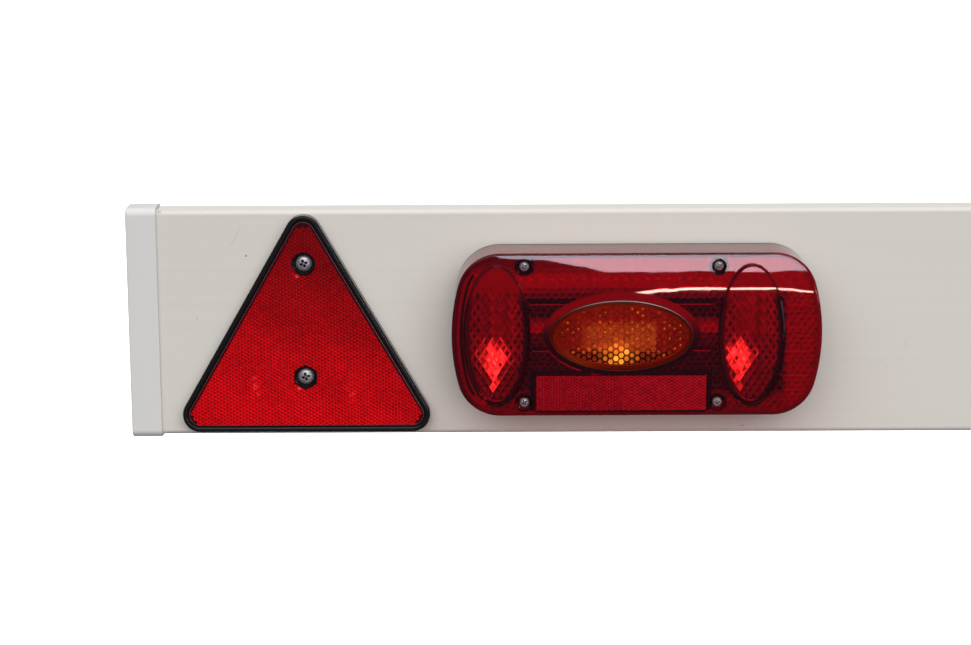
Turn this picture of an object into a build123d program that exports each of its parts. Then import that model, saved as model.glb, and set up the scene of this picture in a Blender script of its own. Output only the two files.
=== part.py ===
from build123d import *
import math
import os

# A trailer lighting board: a hollow white plastic board with push-on end caps, and near each
# end a red triangular reflector and a combined rear lamp. Millimetres, +Z up. The lamps face -Y.
# The origin is the middle of the board's flat rear face, between the two fixing holes.

# Board: an extruded box profile with two inner webs
BOARD_LENGTH = 1400.0
BOARD_HEIGHT = 140.0
BOARD_DEPTH = 22.0
BOARD_WALL = 2.2
BOARD_EDGE_RADIUS = 3.0
BOARD_INNER_RADIUS = 0.8
WEB_THICKNESS = 1.8
WEB_SPACING = 40.0

# End caps: sleeves that push over the board's ends
CAP_WALL = 1.5
CAP_REACH = 17.0
CAP_CLEARANCE = 0.1
CAP_ROUND = 1.1

# Rear fixing holes and the grommet for the supply cable
FIXING_SPACING = 600.0
FIXING_HOLE = 8.5
SUPPLY_FROM_BOTTOM = 24.0
SUPPLY_BORE = 7.0
GROMMET_WALL = 2.0
GROMMET_FLANGE = 2.6
GROMMET_FLANGE_DEPTH = 2.0
GROMMET_LIP = 0.9
GROMMET_CLEARANCE = 0.1

# Self-tapping pan-head screws that hold the reflectors and the lamps to the board
PAN_HEAD_DIAMETER = 9.8
PAN_HEAD_HEIGHT = 3.0
PAN_SHANK = 4.0
PAN_BITE = 7.0
PAN_RECESS = 5.2
HEAD_BEVEL_SHARE = 0.4
RECESS_ARM_SHARE = 0.25
SCREW_CLEARANCE = 0.05

# Triangular reflectors: a black holder with a red lens let into it
TRIANGLE_FROM_END = 106.8
TRIANGLE_MARGIN = 3.1
TRIANGLE_SIDE = 168.0
TRIANGLE_CORNER_RADIUS = 11.0
TRIANGLE_DEPTH = 8.0
TRIANGLE_RIM = 3.3
RIM_ROUND_SHARE = 0.4
TRIANGLE_FLOOR = 2.0
TRIANGLE_LENS_SINK = 0.9
TRIANGLE_LENS_BEVEL = 1.0
TRIANGLE_LENS_CLEARANCE = 0.15
TRIANGLE_SCREW_HEIGHT = 34.5
TRIANGLE_SCREW_SPACING = 70.3
TRIANGLE_SCREW_WELL = 13.7
TRIANGLE_SCREW_SEAT = 1.6

# Lamp windows, from the outboard end: upright oval, indicator oval, upright oval, prism strip
LAMP_FROM_END = 307.3
LAMP_DROP = 0.5
OVAL_WIDTH = 40.5
OVAL_HEIGHT = 86.5
OVAL_RISE = 3.0
OUTBOARD_MARGIN = 6.6
UPRIGHT_MARGIN = 6.25
INDICATOR_WIDTH = 85.4
INDICATOR_HEIGHT = 42.9
INDICATOR_RISE = 1.6
INDICATOR_CLEARANCE = 0.15
INDICATOR_FLANGE = 2.0
OUTBOARD_GAP = 11.5
INBOARD_GAP = 14.6
PRISM_STRIP = 21.9

# Lamp lens: bowed ends, round corners and a front that is crowned from top to bottom
LAMP_CORNER_RADIUS = 26.0
LAMP_END_RADIUS = 116.0
CROWN_RADIUS = 600.0
LENS_WALL = 2.5
LENS_FRONT_ROUND = 1.3
WINDOW_BEVEL = 1.5
GASKET_THICKNESS = 1.4

# Reflex reflector strip under the indicator
REFLEX_LENGTH = 104.0
REFLEX_GAP = 2.6
REFLEX_BOTTOM_INSET = 2.6
REFLEX_POCKET = 1.2
REFLEX_PROUD = 0.7
REFLEX_CORNER = 2.0
REFLEX_CLEARANCE = 0.15
REFLEX_BED_GAP = 0.05

# Lens screws, in counterbored bosses that meet pillars on the base
LENS_SCREW_SPACING = 115.7
LENS_SCREW_INSET = 8.0
LENS_SCREW_HEAD = 5.9
LENS_SCREW_HEAD_HEIGHT = 2.2
LENS_SCREW_SHANK = 2.9
LENS_SCREW_BITE = 9.0
LENS_SCREW_SINK = 4.8
LENS_SCREW_RECESS = 3.2
LENS_SCREW_WELL = 8.7
LENS_BOSS_WALL = 1.4
LENS_BOSS_CLAMP = 8.5
PILLAR_DIAMETER = 8.0

# Lamp base, with an upstand that locates the lens skirt
BASE_PLATE = 3.0
BASE_INSET = 0.6
BASE_UPSTAND = 6.0
BASE_UPSTAND_WALL = 1.8
BASE_CLEARANCE = 0.3
MOUNT_SCREW_SPACING = 98.0

# Silvered reflector dishes, bulbs lying along the board, and their holders
DISH_WALL = 1.5
DISH_DEPTH = 21.0
DISH_TAPER = 13.0
DISH_SIDE_MARGIN = 1.3
DISH_END_MARGIN = 4.0
BULB_DIAMETER = 25.0
BULB_NECK = 14.5
BULB_CAP_DIAMETER = 15.0
BULB_BANDS = 6
BULB_GLASS_SWEEP = 115.0
BULB_CAP_LENGTH = 15.0
BULB_DISH_GAP = 1.6
BULB_LENS_GAP = 6.0
INDICATOR_BULB_DROP = 4.0
UPRIGHT_HOLDER_GAP = 22.75
INDICATOR_HOLDER_GAP = 10.7
HOLDER_WALL = 1.6
HOLDER_DEPTH = 11.5
HOLDER_BACK = 2.0
HOLDER_FOOT_WIDTH = 10.0
HOLDER_CLEARANCE = 0.15

# Link lead between the lamps, inside the board
LEAD_DIAMETER = 6.4
LEAD_RISE = 13.5
LEAD_TAIL = 10.0

# Sizes and places worked out from the values above
LAMP_LENGTH = (OUTBOARD_MARGIN + 2 * OVAL_WIDTH + OUTBOARD_GAP + INDICATOR_WIDTH
               + INBOARD_GAP + PRISM_STRIP)
LAMP_HEIGHT = OVAL_HEIGHT + 2 * UPRIGHT_MARGIN
OUTER_OVAL_X = -LAMP_LENGTH / 2 + OUTBOARD_MARGIN + OVAL_WIDTH / 2
INDICATOR_X = OUTER_OVAL_X + OVAL_WIDTH / 2 + OUTBOARD_GAP + INDICATOR_WIDTH / 2
INNER_OVAL_X = INDICATOR_X + INDICATOR_WIDTH / 2 + INBOARD_GAP + OVAL_WIDTH / 2
DISH_FLOOR = BASE_PLATE + DISH_WALL
UPRIGHT_DISH_LENGTH = OVAL_HEIGHT - 2 * DISH_END_MARGIN
INDICATOR_DISH_LENGTH = INDICATOR_WIDTH - 2 * DISH_END_MARGIN
HOLDER_END = BULB_NECK + BULB_CAP_LENGTH + HOLDER_BACK
UPRIGHT_BULB_Y = UPRIGHT_DISH_LENGTH / 2 - UPRIGHT_HOLDER_GAP - HOLDER_END
INDICATOR_BULB_X = INDICATOR_X + INDICATOR_DISH_LENGTH / 2 - INDICATOR_HOLDER_GAP - HOLDER_END
BULB_AXIS = DISH_FLOOR + BULB_DISH_GAP + BULB_DIAMETER / 2
LENS_DEPTH = BULB_AXIS + BULB_DIAMETER / 2 + BULB_LENS_GAP + LENS_WALL
LENS_SEAT = BASE_PLATE + GASKET_THICKNESS
LENS_HEAD_SEAT = LENS_DEPTH - LENS_SCREW_SINK
LENS_BOSS_SEAT = LENS_HEAD_SEAT - LENS_BOSS_CLAMP
LENS_SCREW_Y = LAMP_HEIGHT / 2 - LENS_SCREW_INSET
LENS_SCREWS = [(INDICATOR_X + side * LENS_SCREW_SPACING / 2, level * LENS_SCREW_Y)
               for side in (-1, 1) for level in (-1, 1)]
MOUNT_SCREWS = [(INDICATOR_X + side * MOUNT_SCREW_SPACING / 2, 0.0) for side in (-1, 1)]
TRIANGLE_SCREWS = [(0.0, TRIANGLE_SCREW_HEIGHT),
                   (0.0, TRIANGLE_SCREW_HEIGHT + TRIANGLE_SCREW_SPACING)]
REFLEX_TOP = -INDICATOR_HEIGHT / 2 - REFLEX_GAP
REFLEX_BOTTOM = -LAMP_HEIGHT / 2 + REFLEX_BOTTOM_INSET
REFLEX_HEIGHT = REFLEX_TOP - REFLEX_BOTTOM
LEAD_BORE = LEAD_DIAMETER + 2 * GROMMET_CLEARANCE
LEAD_HOLE = (INDICATOR_X, -LAMP_HEIGHT / 2 + LEAD_RISE)
TRIANGLE_X = -BOARD_LENGTH / 2 + TRIANGLE_FROM_END
TRIANGLE_Z = -BOARD_HEIGHT / 2 + TRIANGLE_MARGIN
SUPPLY_Z = -BOARD_HEIGHT / 2 + SUPPLY_FROM_BOTTOM
LAMP_X = -BOARD_LENGTH / 2 + LAMP_FROM_END
LAMP_Z = -LAMP_DROP

# Pieces on the front are drawn with their back on the XY plane and their front towards +Z
FRONT = Plane(origin=(0, -BOARD_DEPTH, 0), x_dir=(1, 0, 0), z_dir=(0, -1, 0))
PROFILE = Plane(origin=(0, -BOARD_DEPTH / 2, 0), x_dir=(0, 1, 0), z_dir=(1, 0, 0))


def on_front(piece, x, z):
    """Set a piece on the board's front face."""
    return FRONT.location * Pos(x, z, 0) * piece


def bar(diameter, bottom, top, place=(0.0, 0.0)):
    """A round bar along +Z between two levels."""
    disc = Pos(place[0], place[1], bottom) * Circle(diameter / 2)
    return extrude(disc, amount=top - bottom)


def front_round(block, radius):
    """Round the edges of a block's foremost face."""
    return fillet(block.faces().sort_by(Axis.Z)[-1].edges(), radius)


def front_bevel(block, size):
    """Bevel the edges of a block's foremost face."""
    return chamfer(block.faces().sort_by(Axis.Z)[-1].edges(), size)


# Screws


def screw(head, head_height, shank, length, recess):
    """A cross-recess screw with its head seat on the XY plane and its point towards -Z."""
    head_bar = front_bevel(bar(head, 0, head_height), head_height * HEAD_BEVEL_SHARE)
    arm = recess * RECESS_ARM_SHARE
    slot = Box(recess, arm, head_height, align=(Align.CENTER, Align.CENTER, Align.MIN))
    cross = slot + Rot(0, 0, 90) * slot
    return head_bar + bar(shank, -length, 0) - Pos(0, 0, head_height / 2) * cross


def screw_group(piece, places, level):
    """Copies of one screw as separate solids of one group."""
    return Part() + [Pos(x, y, level) * piece for x, y in places]


def board_screw(seat):
    """The pan-head screw, long enough to pass from its seat through the board's front wall."""
    return screw(PAN_HEAD_DIAMETER, PAN_HEAD_HEIGHT, PAN_SHANK, seat + BOARD_WALL + PAN_BITE, PAN_RECESS)


# Board and end caps


def board_outline(grow=0.0):
    """The board's cross-section, grown evenly all round."""
    return RectangleRounded(
        BOARD_DEPTH + 2 * grow, BOARD_HEIGHT + 2 * grow, BOARD_EDGE_RADIUS + grow)


def board_chambers():
    """The three hollow spaces between the walls and the webs, as one sketch."""
    inside = RectangleRounded(
        BOARD_DEPTH - 2 * BOARD_WALL, BOARD_HEIGHT - 2 * BOARD_WALL, BOARD_INNER_RADIUS)
    webs = [Pos(0, side * WEB_SPACING / 2) * Rectangle(BOARD_DEPTH, WEB_THICKNESS) for side in (-1, 1)]
    return inside - webs


def front_hole(diameter, x, z):
    """A drill through the board's front wall."""
    return on_front(bar(diameter, -2 * BOARD_WALL, BOARD_WALL), x, z)


def rear_hole(diameter, x, z):
    """A drill through the board's rear wall."""
    return Pos(x, 0, z) * Rot(90, 0, 0) * bar(diameter, -BOARD_WALL, 2 * BOARD_WALL)


def left_front_holes():
    """Pilot holes for the screws and the hole for the lamp's lead, in the board's left half."""
    pilot = PAN_SHANK + 2 * SCREW_CLEARANCE
    holes = [front_hole(pilot, TRIANGLE_X + x, TRIANGLE_Z + y) for x, y in TRIANGLE_SCREWS]
    holes += [front_hole(pilot, LAMP_X + x, LAMP_Z + y) for x, y in MOUNT_SCREWS]
    lead_hole = grommet_body(LEAD_BORE) + 2 * GROMMET_CLEARANCE
    holes.append(front_hole(lead_hole, LAMP_X + LEAD_HOLE[0], LAMP_Z + LEAD_HOLE[1]))
    return holes


def board_profile():
    """The hollow board with every hole that its fittings need."""
    board = extrude(PROFILE * (board_outline() - board_chambers()), amount=BOARD_LENGTH / 2, both=True)
    front = left_front_holes()
    board -= front + [mirror(hole, about=Plane.YZ) for hole in front]
    board -= [rear_hole(FIXING_HOLE, side * FIXING_SPACING / 2, 0) for side in (-1, 1)]
    return board - rear_hole(grommet_body(SUPPLY_BORE) + 2 * GROMMET_CLEARANCE, 0, SUPPLY_Z)


def left_end_cap():
    """A sleeve with a closed end, pushed over the board until the end wall meets it."""
    end = -BOARD_LENGTH / 2
    outside = Pos(end - CAP_WALL, 0, 0) * extrude(
        PROFILE * board_outline(CAP_CLEARANCE + CAP_WALL), amount=CAP_WALL + CAP_REACH)
    outside = fillet(outside.faces().sort_by(Axis.X)[0].edges(), CAP_ROUND)
    return outside - Pos(end, 0, 0) * extrude(
        PROFILE * board_outline(CAP_CLEARANCE), amount=2 * CAP_REACH)


# Grommets and the link lead


def grommet_body(bore):
    """The diameter of a grommet where it passes through a wall."""
    return bore + 2 * GROMMET_WALL


def grommet(bore, wall):
    """A flanged rubber bush: flange on the +Z side of a wall whose face is the XY plane."""
    body = grommet_body(bore)
    bush = bar(body, -wall - GROMMET_LIP, 0) + bar(body + 2 * GROMMET_FLANGE, 0, GROMMET_FLANGE_DEPTH)
    return bush - bar(bore, -2 * wall - GROMMET_LIP, 2 * GROMMET_FLANGE_DEPTH)


def supply_grommet():
    """The rear grommet, with a lip behind the wall that keeps it in."""
    lip = bar(grommet_body(SUPPLY_BORE) + 2 * GROMMET_LIP, -BOARD_WALL - GROMMET_LIP, -BOARD_WALL)
    bush = grommet(SUPPLY_BORE, BOARD_WALL) + (lip - bar(SUPPLY_BORE, -2 * BOARD_WALL - GROMMET_LIP, 0))
    return Pos(0, 0, SUPPLY_Z) * Rot(-90, 0, 0) * bush


def link_lead():
    """The lead from lamp to lamp: in through one grommet, along the board's middle, out at the other."""
    x = LAMP_X + LEAD_HOLE[0]
    z = LAMP_Z + LEAD_HOLE[1]
    tail = -BOARD_DEPTH - BASE_PLATE - LEAD_TAIL
    middle = -BOARD_DEPTH / 2
    bend = BOARD_DEPTH / 2 - BOARD_WALL - GROMMET_LIP
    path = FilletPolyline((x, tail, z), (x, middle, z), (-x, middle, z), (-x, tail, z), radius=bend)
    section = Plane(origin=(x, tail, z), z_dir=(0, 1, 0)) * Circle(LEAD_DIAMETER / 2)
    return sweep(section, path=path)


# Triangular reflector


def triangle(inset=0.0):
    """An equilateral triangle with round corners, standing on the X axis, drawn in by inset."""
    half = TRIANGLE_SIDE / 2
    sharp = Polygon((-half, 0), (half, 0), (0, half * math.sqrt(3)), align=None)
    face = fillet(sharp.vertices(), TRIANGLE_CORNER_RADIUS)
    return offset(face, -inset) if inset else face


def triangle_holder():
    """The black dish with a rounded rim and a raised seat for each screw."""
    block = extrude(triangle(), amount=TRIANGLE_DEPTH)
    pocket = extrude(Pos(0, 0, TRIANGLE_FLOOR) * triangle(TRIANGLE_RIM), amount=TRIANGLE_DEPTH)
    holder = front_round(block - pocket, RIM_ROUND_SHARE * TRIANGLE_RIM)
    for place in TRIANGLE_SCREWS:
        well = TRIANGLE_SCREW_WELL - 2 * TRIANGLE_LENS_CLEARANCE
        holder += bar(well, TRIANGLE_FLOOR / 2, TRIANGLE_FLOOR + TRIANGLE_SCREW_SEAT, place)
        holder -= bar(PAN_SHANK + 4 * SCREW_CLEARANCE, -TRIANGLE_FLOOR, TRIANGLE_DEPTH, place)
    return holder


def triangle_lens():
    """The red lens: a plate in the holder's pocket with a bevelled edge and two screw wells."""
    plate = triangle(TRIANGLE_RIM + TRIANGLE_LENS_CLEARANCE)
    top = TRIANGLE_DEPTH - TRIANGLE_LENS_SINK
    lens = extrude(Pos(0, 0, TRIANGLE_FLOOR) * plate, amount=top - TRIANGLE_FLOOR)
    lens = front_bevel(lens, TRIANGLE_LENS_BEVEL)
    return lens - [bar(TRIANGLE_SCREW_WELL, 0, 2 * TRIANGLE_DEPTH, place) for place in TRIANGLE_SCREWS]


def triangle_screws():
    """The two screws, one above the other, with their heads on the holder's seats."""
    seat = TRIANGLE_FLOOR + TRIANGLE_SCREW_SEAT
    return screw_group(board_screw(seat), TRIANGLE_SCREWS, seat)


# Lamp outline, crown and windows


def lamp_outline(inset=0.0):
    """Straight long sides, bowed ends and round corners, drawn in by inset."""
    end = LAMP_LENGTH / 2
    top = LAMP_HEIGHT / 2
    shoulder = end - LAMP_END_RADIUS + math.sqrt(LAMP_END_RADIUS ** 2 - top ** 2)
    edges = Line((-shoulder, top), (shoulder, top))
    edges += ThreePointArc((shoulder, top), (end, 0), (shoulder, -top))
    edges += Line((shoulder, -top), (-shoulder, -top))
    edges += ThreePointArc((-shoulder, -top), (-end, 0), (-shoulder, top))
    face = make_face(edges)
    face = fillet(face.vertices(), LAMP_CORNER_RADIUS)
    return offset(face, -inset) if inset else face


def under_crown(depth):
    """All that lies behind a crowned front whose highest line stands at depth."""
    return Pos(0, 0, depth - CROWN_RADIUS) * Cylinder(CROWN_RADIUS, 2 * LAMP_LENGTH, rotation=(0, 90, 0))


def crowned(outline, bottom, depth):
    """An outline pulled forward from a level up to the crowned front at depth."""
    return extrude(Pos(0, 0, bottom) * outline, amount=depth) & under_crown(depth)


def upright_oval(x, inset=0.0):
    """The outline of an upright window."""
    return Pos(x, 0) * Ellipse(OVAL_WIDTH / 2 - inset, OVAL_HEIGHT / 2 - inset)


def indicator_oval(grow=0.0):
    """The outline of the indicator window."""
    return Pos(INDICATOR_X, 0) * Ellipse(INDICATOR_WIDTH / 2 + grow, INDICATOR_HEIGHT / 2 + grow)


def reflex_outline(inset=0.0):
    """The outline of the reflex reflector strip."""
    return Pos(INDICATOR_X, (REFLEX_TOP + REFLEX_BOTTOM) / 2) * RectangleRounded(
        REFLEX_LENGTH - 2 * inset, REFLEX_HEIGHT - 2 * inset, REFLEX_CORNER)


# Lamp lens with its windows


def lamp_lens():
    """The red shell: crowned front, two raised ovals, indicator opening, reflex pocket, screw bosses."""
    back = LENS_DEPTH - LENS_WALL
    outside = front_round(crowned(lamp_outline(), LENS_SEAT, LENS_DEPTH), LENS_FRONT_ROUND)
    inside = crowned(lamp_outline(LENS_WALL), LENS_SEAT - LENS_WALL, back)
    for x in (OUTER_OVAL_X, INNER_OVAL_X):
        outside += front_bevel(crowned(upright_oval(x), back, LENS_DEPTH + OVAL_RISE), WINDOW_BEVEL)
        inside += crowned(upright_oval(x, LENS_WALL), BULB_AXIS, back + OVAL_RISE)
    lens = outside - inside
    for place in LENS_SCREWS:
        boss = bar(LENS_SCREW_WELL + 2 * LENS_BOSS_WALL, LENS_BOSS_SEAT, LENS_DEPTH, place)
        lens += boss & crowned(lamp_outline(LENS_WALL / 2), 0, back + LENS_WALL / 2)
        lens -= bar(LENS_SCREW_WELL, LENS_HEAD_SEAT, 2 * LENS_DEPTH, place)
        lens -= bar(LENS_SCREW_SHANK + 4 * SCREW_CLEARANCE, 0, LENS_DEPTH, place)
    lens -= extrude(Pos(0, 0, BULB_AXIS) * indicator_oval(INDICATOR_CLEARANCE), amount=LENS_DEPTH)
    pocket = extrude(Pos(0, 0, BULB_AXIS) * reflex_outline(), amount=LENS_DEPTH)
    return lens - (pocket - under_crown(LENS_DEPTH - REFLEX_POCKET))


def indicator_window():
    """The amber oval: a hollow button through the lens with a flange behind it."""
    back = LENS_DEPTH - LENS_WALL - INDICATOR_CLEARANCE
    flange_back = back - INDICATOR_FLANGE
    button = crowned(indicator_oval(), flange_back - LENS_WALL, LENS_DEPTH + INDICATOR_RISE)
    window = front_bevel(button, WINDOW_BEVEL)
    window += crowned(indicator_oval(INDICATOR_FLANGE), flange_back - LENS_WALL, back)
    hollow = crowned(indicator_oval(-LENS_WALL), BULB_AXIS, LENS_DEPTH + INDICATOR_RISE - LENS_WALL)
    return window - hollow


def reflex_reflector():
    """The red prism strip, seated in the lens's pocket and standing a little proud of it."""
    plate = crowned(reflex_outline(REFLEX_CLEARANCE), BULB_AXIS, LENS_DEPTH + REFLEX_PROUD)
    return plate - under_crown(LENS_DEPTH - REFLEX_POCKET + REFLEX_BED_GAP)


def lens_screws():
    """Four screws that clamp the lens to the base's pillars."""
    piece = screw(LENS_SCREW_HEAD, LENS_SCREW_HEAD_HEIGHT, LENS_SCREW_SHANK,
                  LENS_BOSS_CLAMP + LENS_SCREW_BITE, LENS_SCREW_RECESS)
    return screw_group(piece, LENS_SCREWS, LENS_HEAD_SEAT)


# Lamp base, gasket and what they carry


def lamp_base():
    """The black base: plate, locating upstand, screw pillars and holes for screws and lead."""
    base = extrude(lamp_outline(BASE_INSET), amount=BASE_PLATE)
    wall_inset = LENS_WALL + BASE_CLEARANCE
    ring = lamp_outline(wall_inset) - lamp_outline(wall_inset + BASE_UPSTAND_WALL)
    base += extrude(Pos(0, 0, BASE_PLATE) * ring, amount=BASE_UPSTAND)
    for place in LENS_SCREWS:
        base += bar(PILLAR_DIAMETER, BASE_PLATE / 2, LENS_BOSS_SEAT, place)
        bottom = LENS_BOSS_SEAT - LENS_SCREW_BITE - 2 * LENS_SCREW_SHANK
        base -= bar(LENS_SCREW_SHANK + 2 * SCREW_CLEARANCE, bottom, LENS_DEPTH, place)
    for place in MOUNT_SCREWS:
        base -= bar(PAN_SHANK + 4 * SCREW_CLEARANCE, -BASE_PLATE, 2 * BASE_PLATE, place)
    return base - bar(grommet_body(LEAD_BORE) + 2 * GROMMET_CLEARANCE, -BASE_PLATE, 2 * BASE_PLATE, LEAD_HOLE)


def lens_gasket():
    """The ring between the base plate and the lens skirt."""
    ring = lamp_outline() - lamp_outline(LENS_WALL)
    return extrude(Pos(0, 0, BASE_PLATE) * ring, amount=GASKET_THICKNESS)


def mount_screws():
    """Two screws between the dishes that hold the base to the board."""
    return screw_group(board_screw(BASE_PLATE), MOUNT_SCREWS, BASE_PLATE)


def lead_grommet():
    """The bush that takes the lead through the base and the board's front wall."""
    bush = grommet(LEAD_BORE, BASE_PLATE + BOARD_WALL)
    return Pos(LEAD_HOLE[0], LEAD_HOLE[1], BASE_PLATE) * bush


def dish(x, length, width, turn):
    """A silvered dish with straight sides, round ends and a taper, standing on the base plate."""
    rim = Pos(x, 0, BASE_PLATE + DISH_DEPTH) * Rot(0, 0, turn)
    outer = SlotOverall(length, width)
    inner = SlotOverall(length - 2 * DISH_WALL, width - 2 * DISH_WALL)
    down = (0, 0, -1)
    body = extrude(rim * outer, amount=DISH_DEPTH, dir=down, taper=DISH_TAPER)
    return body - extrude(rim * inner, amount=DISH_DEPTH - DISH_WALL, dir=down, taper=DISH_TAPER)


def upright_dish(x):
    """The dish behind an upright window."""
    return dish(x, UPRIGHT_DISH_LENGTH, OVAL_WIDTH - 2 * DISH_SIDE_MARGIN, 90)


def indicator_dish():
    """The dish behind the indicator window."""
    return dish(INDICATOR_X, INDICATOR_DISH_LENGTH, INDICATOR_HEIGHT - 2 * DISH_SIDE_MARGIN, 0)


def bulb():
    """A bayonet bulb: round glass about the origin, drawn in to a neck, and a cap along +Y."""
    neck = BULB_CAP_DIAMETER / 2
    end = HOLDER_END - HOLDER_BACK
    turns = [math.radians(-90 + BULB_GLASS_SWEEP * step / BULB_BANDS) for step in range(BULB_BANDS + 1)]
    glass = [(BULB_DIAMETER / 2 * math.cos(turn), BULB_DIAMETER / 2 * math.sin(turn)) for turn in turns]
    outline = Polyline(*glass, (neck, BULB_NECK), (neck, end), (0, end), close=True)
    return revolve(make_face(outline), axis=Axis.Y)


def bulb_holder():
    """A bayonet socket round the bulb's cap, on a foot that stands on the dish's floor."""
    bore = BULB_CAP_DIAMETER + 2 * HOLDER_CLEARANCE
    outside = bore + 2 * HOLDER_WALL
    floor = HOLDER_END - HOLDER_BACK
    mouth = floor - HOLDER_DEPTH
    socket = Rot(-90, 0, 0) * (bar(outside, mouth, HOLDER_END) - bar(bore, 0, floor))
    drop = BULB_AXIS - DISH_FLOOR
    foot = Pos(0, (mouth + HOLDER_END) / 2, -drop) * Box(
        HOLDER_FOOT_WIDTH, HOLDER_END - mouth, drop, align=(Align.CENTER, Align.CENTER, Align.MIN))
    return socket + (foot - Rot(-90, 0, 0) * bar(outside, 0, 2 * HOLDER_END))


def lamp_bulbs():
    """Each bulb's name and where it lies in its dish; the indicator's cap points inboard."""
    return {
        "outer": Pos(OUTER_OVAL_X, UPRIGHT_BULB_Y, BULB_AXIS),
        "inner": Pos(INNER_OVAL_X, UPRIGHT_BULB_Y, BULB_AXIS),
        "indicator": Pos(INDICATOR_BULB_X, -INDICATOR_BULB_DROP, BULB_AXIS) * Rot(0, 0, -90),
    }


def lamp_pieces():
    """The pieces of one lamp by name, drawn about the lamp's own middle."""
    pieces = {
        "lamp_base": lamp_base(),
        "lens_gasket": lens_gasket(),
        "lamp_lens": lamp_lens(),
        "indicator_window": indicator_window(),
        "reflex_reflector": reflex_reflector(),
        "lens_screws": lens_screws(),
        "mount_screws": mount_screws(),
        "lead_grommet": lead_grommet(),
        "outer_dish": upright_dish(OUTER_OVAL_X),
        "inner_dish": upright_dish(INNER_OVAL_X),
        "indicator_dish": indicator_dish(),
    }
    for name, place in lamp_bulbs().items():
        pieces[name + "_bulb"] = place * bulb()
        pieces[name + "_bulb_holder"] = place * bulb_holder()
    return pieces


# The whole board: middle pieces as they are, side pieces on the left and mirrored to the right


def side_pieces():
    """Everything that is fitted to the board's left half."""
    pieces = {"end_cap": left_end_cap()}
    reflector = {
        "triangle_holder": triangle_holder(),
        "triangle_lens": triangle_lens(),
        "triangle_screws": triangle_screws(),
    }
    for name, piece in reflector.items():
        pieces[name] = on_front(piece, TRIANGLE_X, TRIANGLE_Z)
    for name, piece in lamp_pieces().items():
        pieces[name] = on_front(piece, LAMP_X, LAMP_Z)
    return pieces


def write_parts():
    """Write every piece to its own file."""
    os.makedirs("parts", exist_ok=True)
    nodes = {
        "board_profile": board_profile(),
        "supply_grommet": supply_grommet(),
        "link_lead": link_lead(),
    }
    for name, piece in side_pieces().items():
        nodes["left_" + name] = piece
        nodes["right_" + name] = mirror(piece, about=Plane.YZ)
    for node, piece in nodes.items():
        export_step(piece, f"parts/{node}.step")
    print(f"{len(nodes)} nodes written")


write_parts()
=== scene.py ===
# %% [markdown]
# # A trailer lighting board
#
# The object is a white plastic board that hangs on the back of a trailer. Near each end it carries
# a red triangular reflector and a combined rear lamp. The solids come from the imported frame, at their
# real size and place. This file gives them their finishes and adds what is too fine for the solids:
# the prisms, pillows and pins that are moulded into the lenses.
#
# The frame is loaded first. Lengths below are millimetres, and a mesh turns them to metres when it is made.

# %% The imported frame
import math

import bpy
import numpy as np
from mathutils import Matrix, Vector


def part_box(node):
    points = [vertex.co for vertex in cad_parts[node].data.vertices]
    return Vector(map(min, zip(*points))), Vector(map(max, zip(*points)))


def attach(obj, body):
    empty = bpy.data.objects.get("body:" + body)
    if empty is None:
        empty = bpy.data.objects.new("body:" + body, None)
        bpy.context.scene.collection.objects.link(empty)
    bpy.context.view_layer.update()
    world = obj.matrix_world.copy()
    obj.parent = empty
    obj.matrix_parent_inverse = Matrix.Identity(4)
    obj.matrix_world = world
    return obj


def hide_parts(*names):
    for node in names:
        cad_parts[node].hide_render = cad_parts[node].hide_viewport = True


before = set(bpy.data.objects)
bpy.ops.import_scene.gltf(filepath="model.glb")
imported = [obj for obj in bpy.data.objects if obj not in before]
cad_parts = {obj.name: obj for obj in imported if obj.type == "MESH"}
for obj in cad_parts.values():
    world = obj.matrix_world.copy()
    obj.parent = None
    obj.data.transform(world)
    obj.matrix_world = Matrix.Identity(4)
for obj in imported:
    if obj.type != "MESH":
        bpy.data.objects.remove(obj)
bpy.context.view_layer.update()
MM = 0.001


def node_box(name):
    """The lowest and highest corner of a solid, in millimetres."""
    low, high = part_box(name)
    return np.array(low) / MM, np.array(high) / MM


# %% [markdown]
# ## Camera
#
# The photograph was taken from a little above the board, in front of its left end. A camera can be set
# by eye, but here its focal length, place and three turns were found by fitting the board's edges and
# the screws. They are typed in as plain numbers: the camera looks along +Y, turns about the upright,
# tips down, and then rolls.

# %% Camera
IMAGE_WIDTH = 971
FOCAL_PIXELS = 2400.0
SENSOR_WIDTH = 36.0
CAMERA_PLACE = (-477.576, -1461.281, 293.294)
CAMERA_TURN = math.radians(0.217)
CAMERA_TIP = math.radians(11.523)
CAMERA_ROLL = math.radians(-0.289)


def add_camera():
    """Makes the camera from its focal length, place and turns."""
    data = bpy.data.cameras.new("photo_camera")
    data.sensor_width = SENSOR_WIDTH
    data.lens = FOCAL_PIXELS / IMAGE_WIDTH * SENSOR_WIDTH
    camera = bpy.data.objects.new("photo_camera", data)
    upright = Matrix.Rotation(math.pi / 2, 4, "X")
    turns = Matrix.Rotation(CAMERA_TURN, 4, "Z") @ Matrix.Rotation(-CAMERA_TIP, 4, "X") @ upright
    roll = Matrix.Rotation(CAMERA_ROLL, 4, "Z")
    camera.matrix_world = Matrix.Translation([v * MM for v in CAMERA_PLACE]) @ turns @ roll
    bpy.context.scene.collection.objects.link(camera)
    bpy.context.scene.camera = camera
    return camera


bpy.context.scene.view_settings.view_transform = "Standard"
print("camera lens", round(add_camera().data.lens, 2))

# %% [markdown]
# ## Colours and nodes
#
# Colours are written as sRGB hex, the way a paint chart gives them, and one function turns them to the
# linear values that a shader needs. One more function adds a node: it sets the node's own settings and
# fills its inputs, either with a value or with a link from another node's output.

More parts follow.
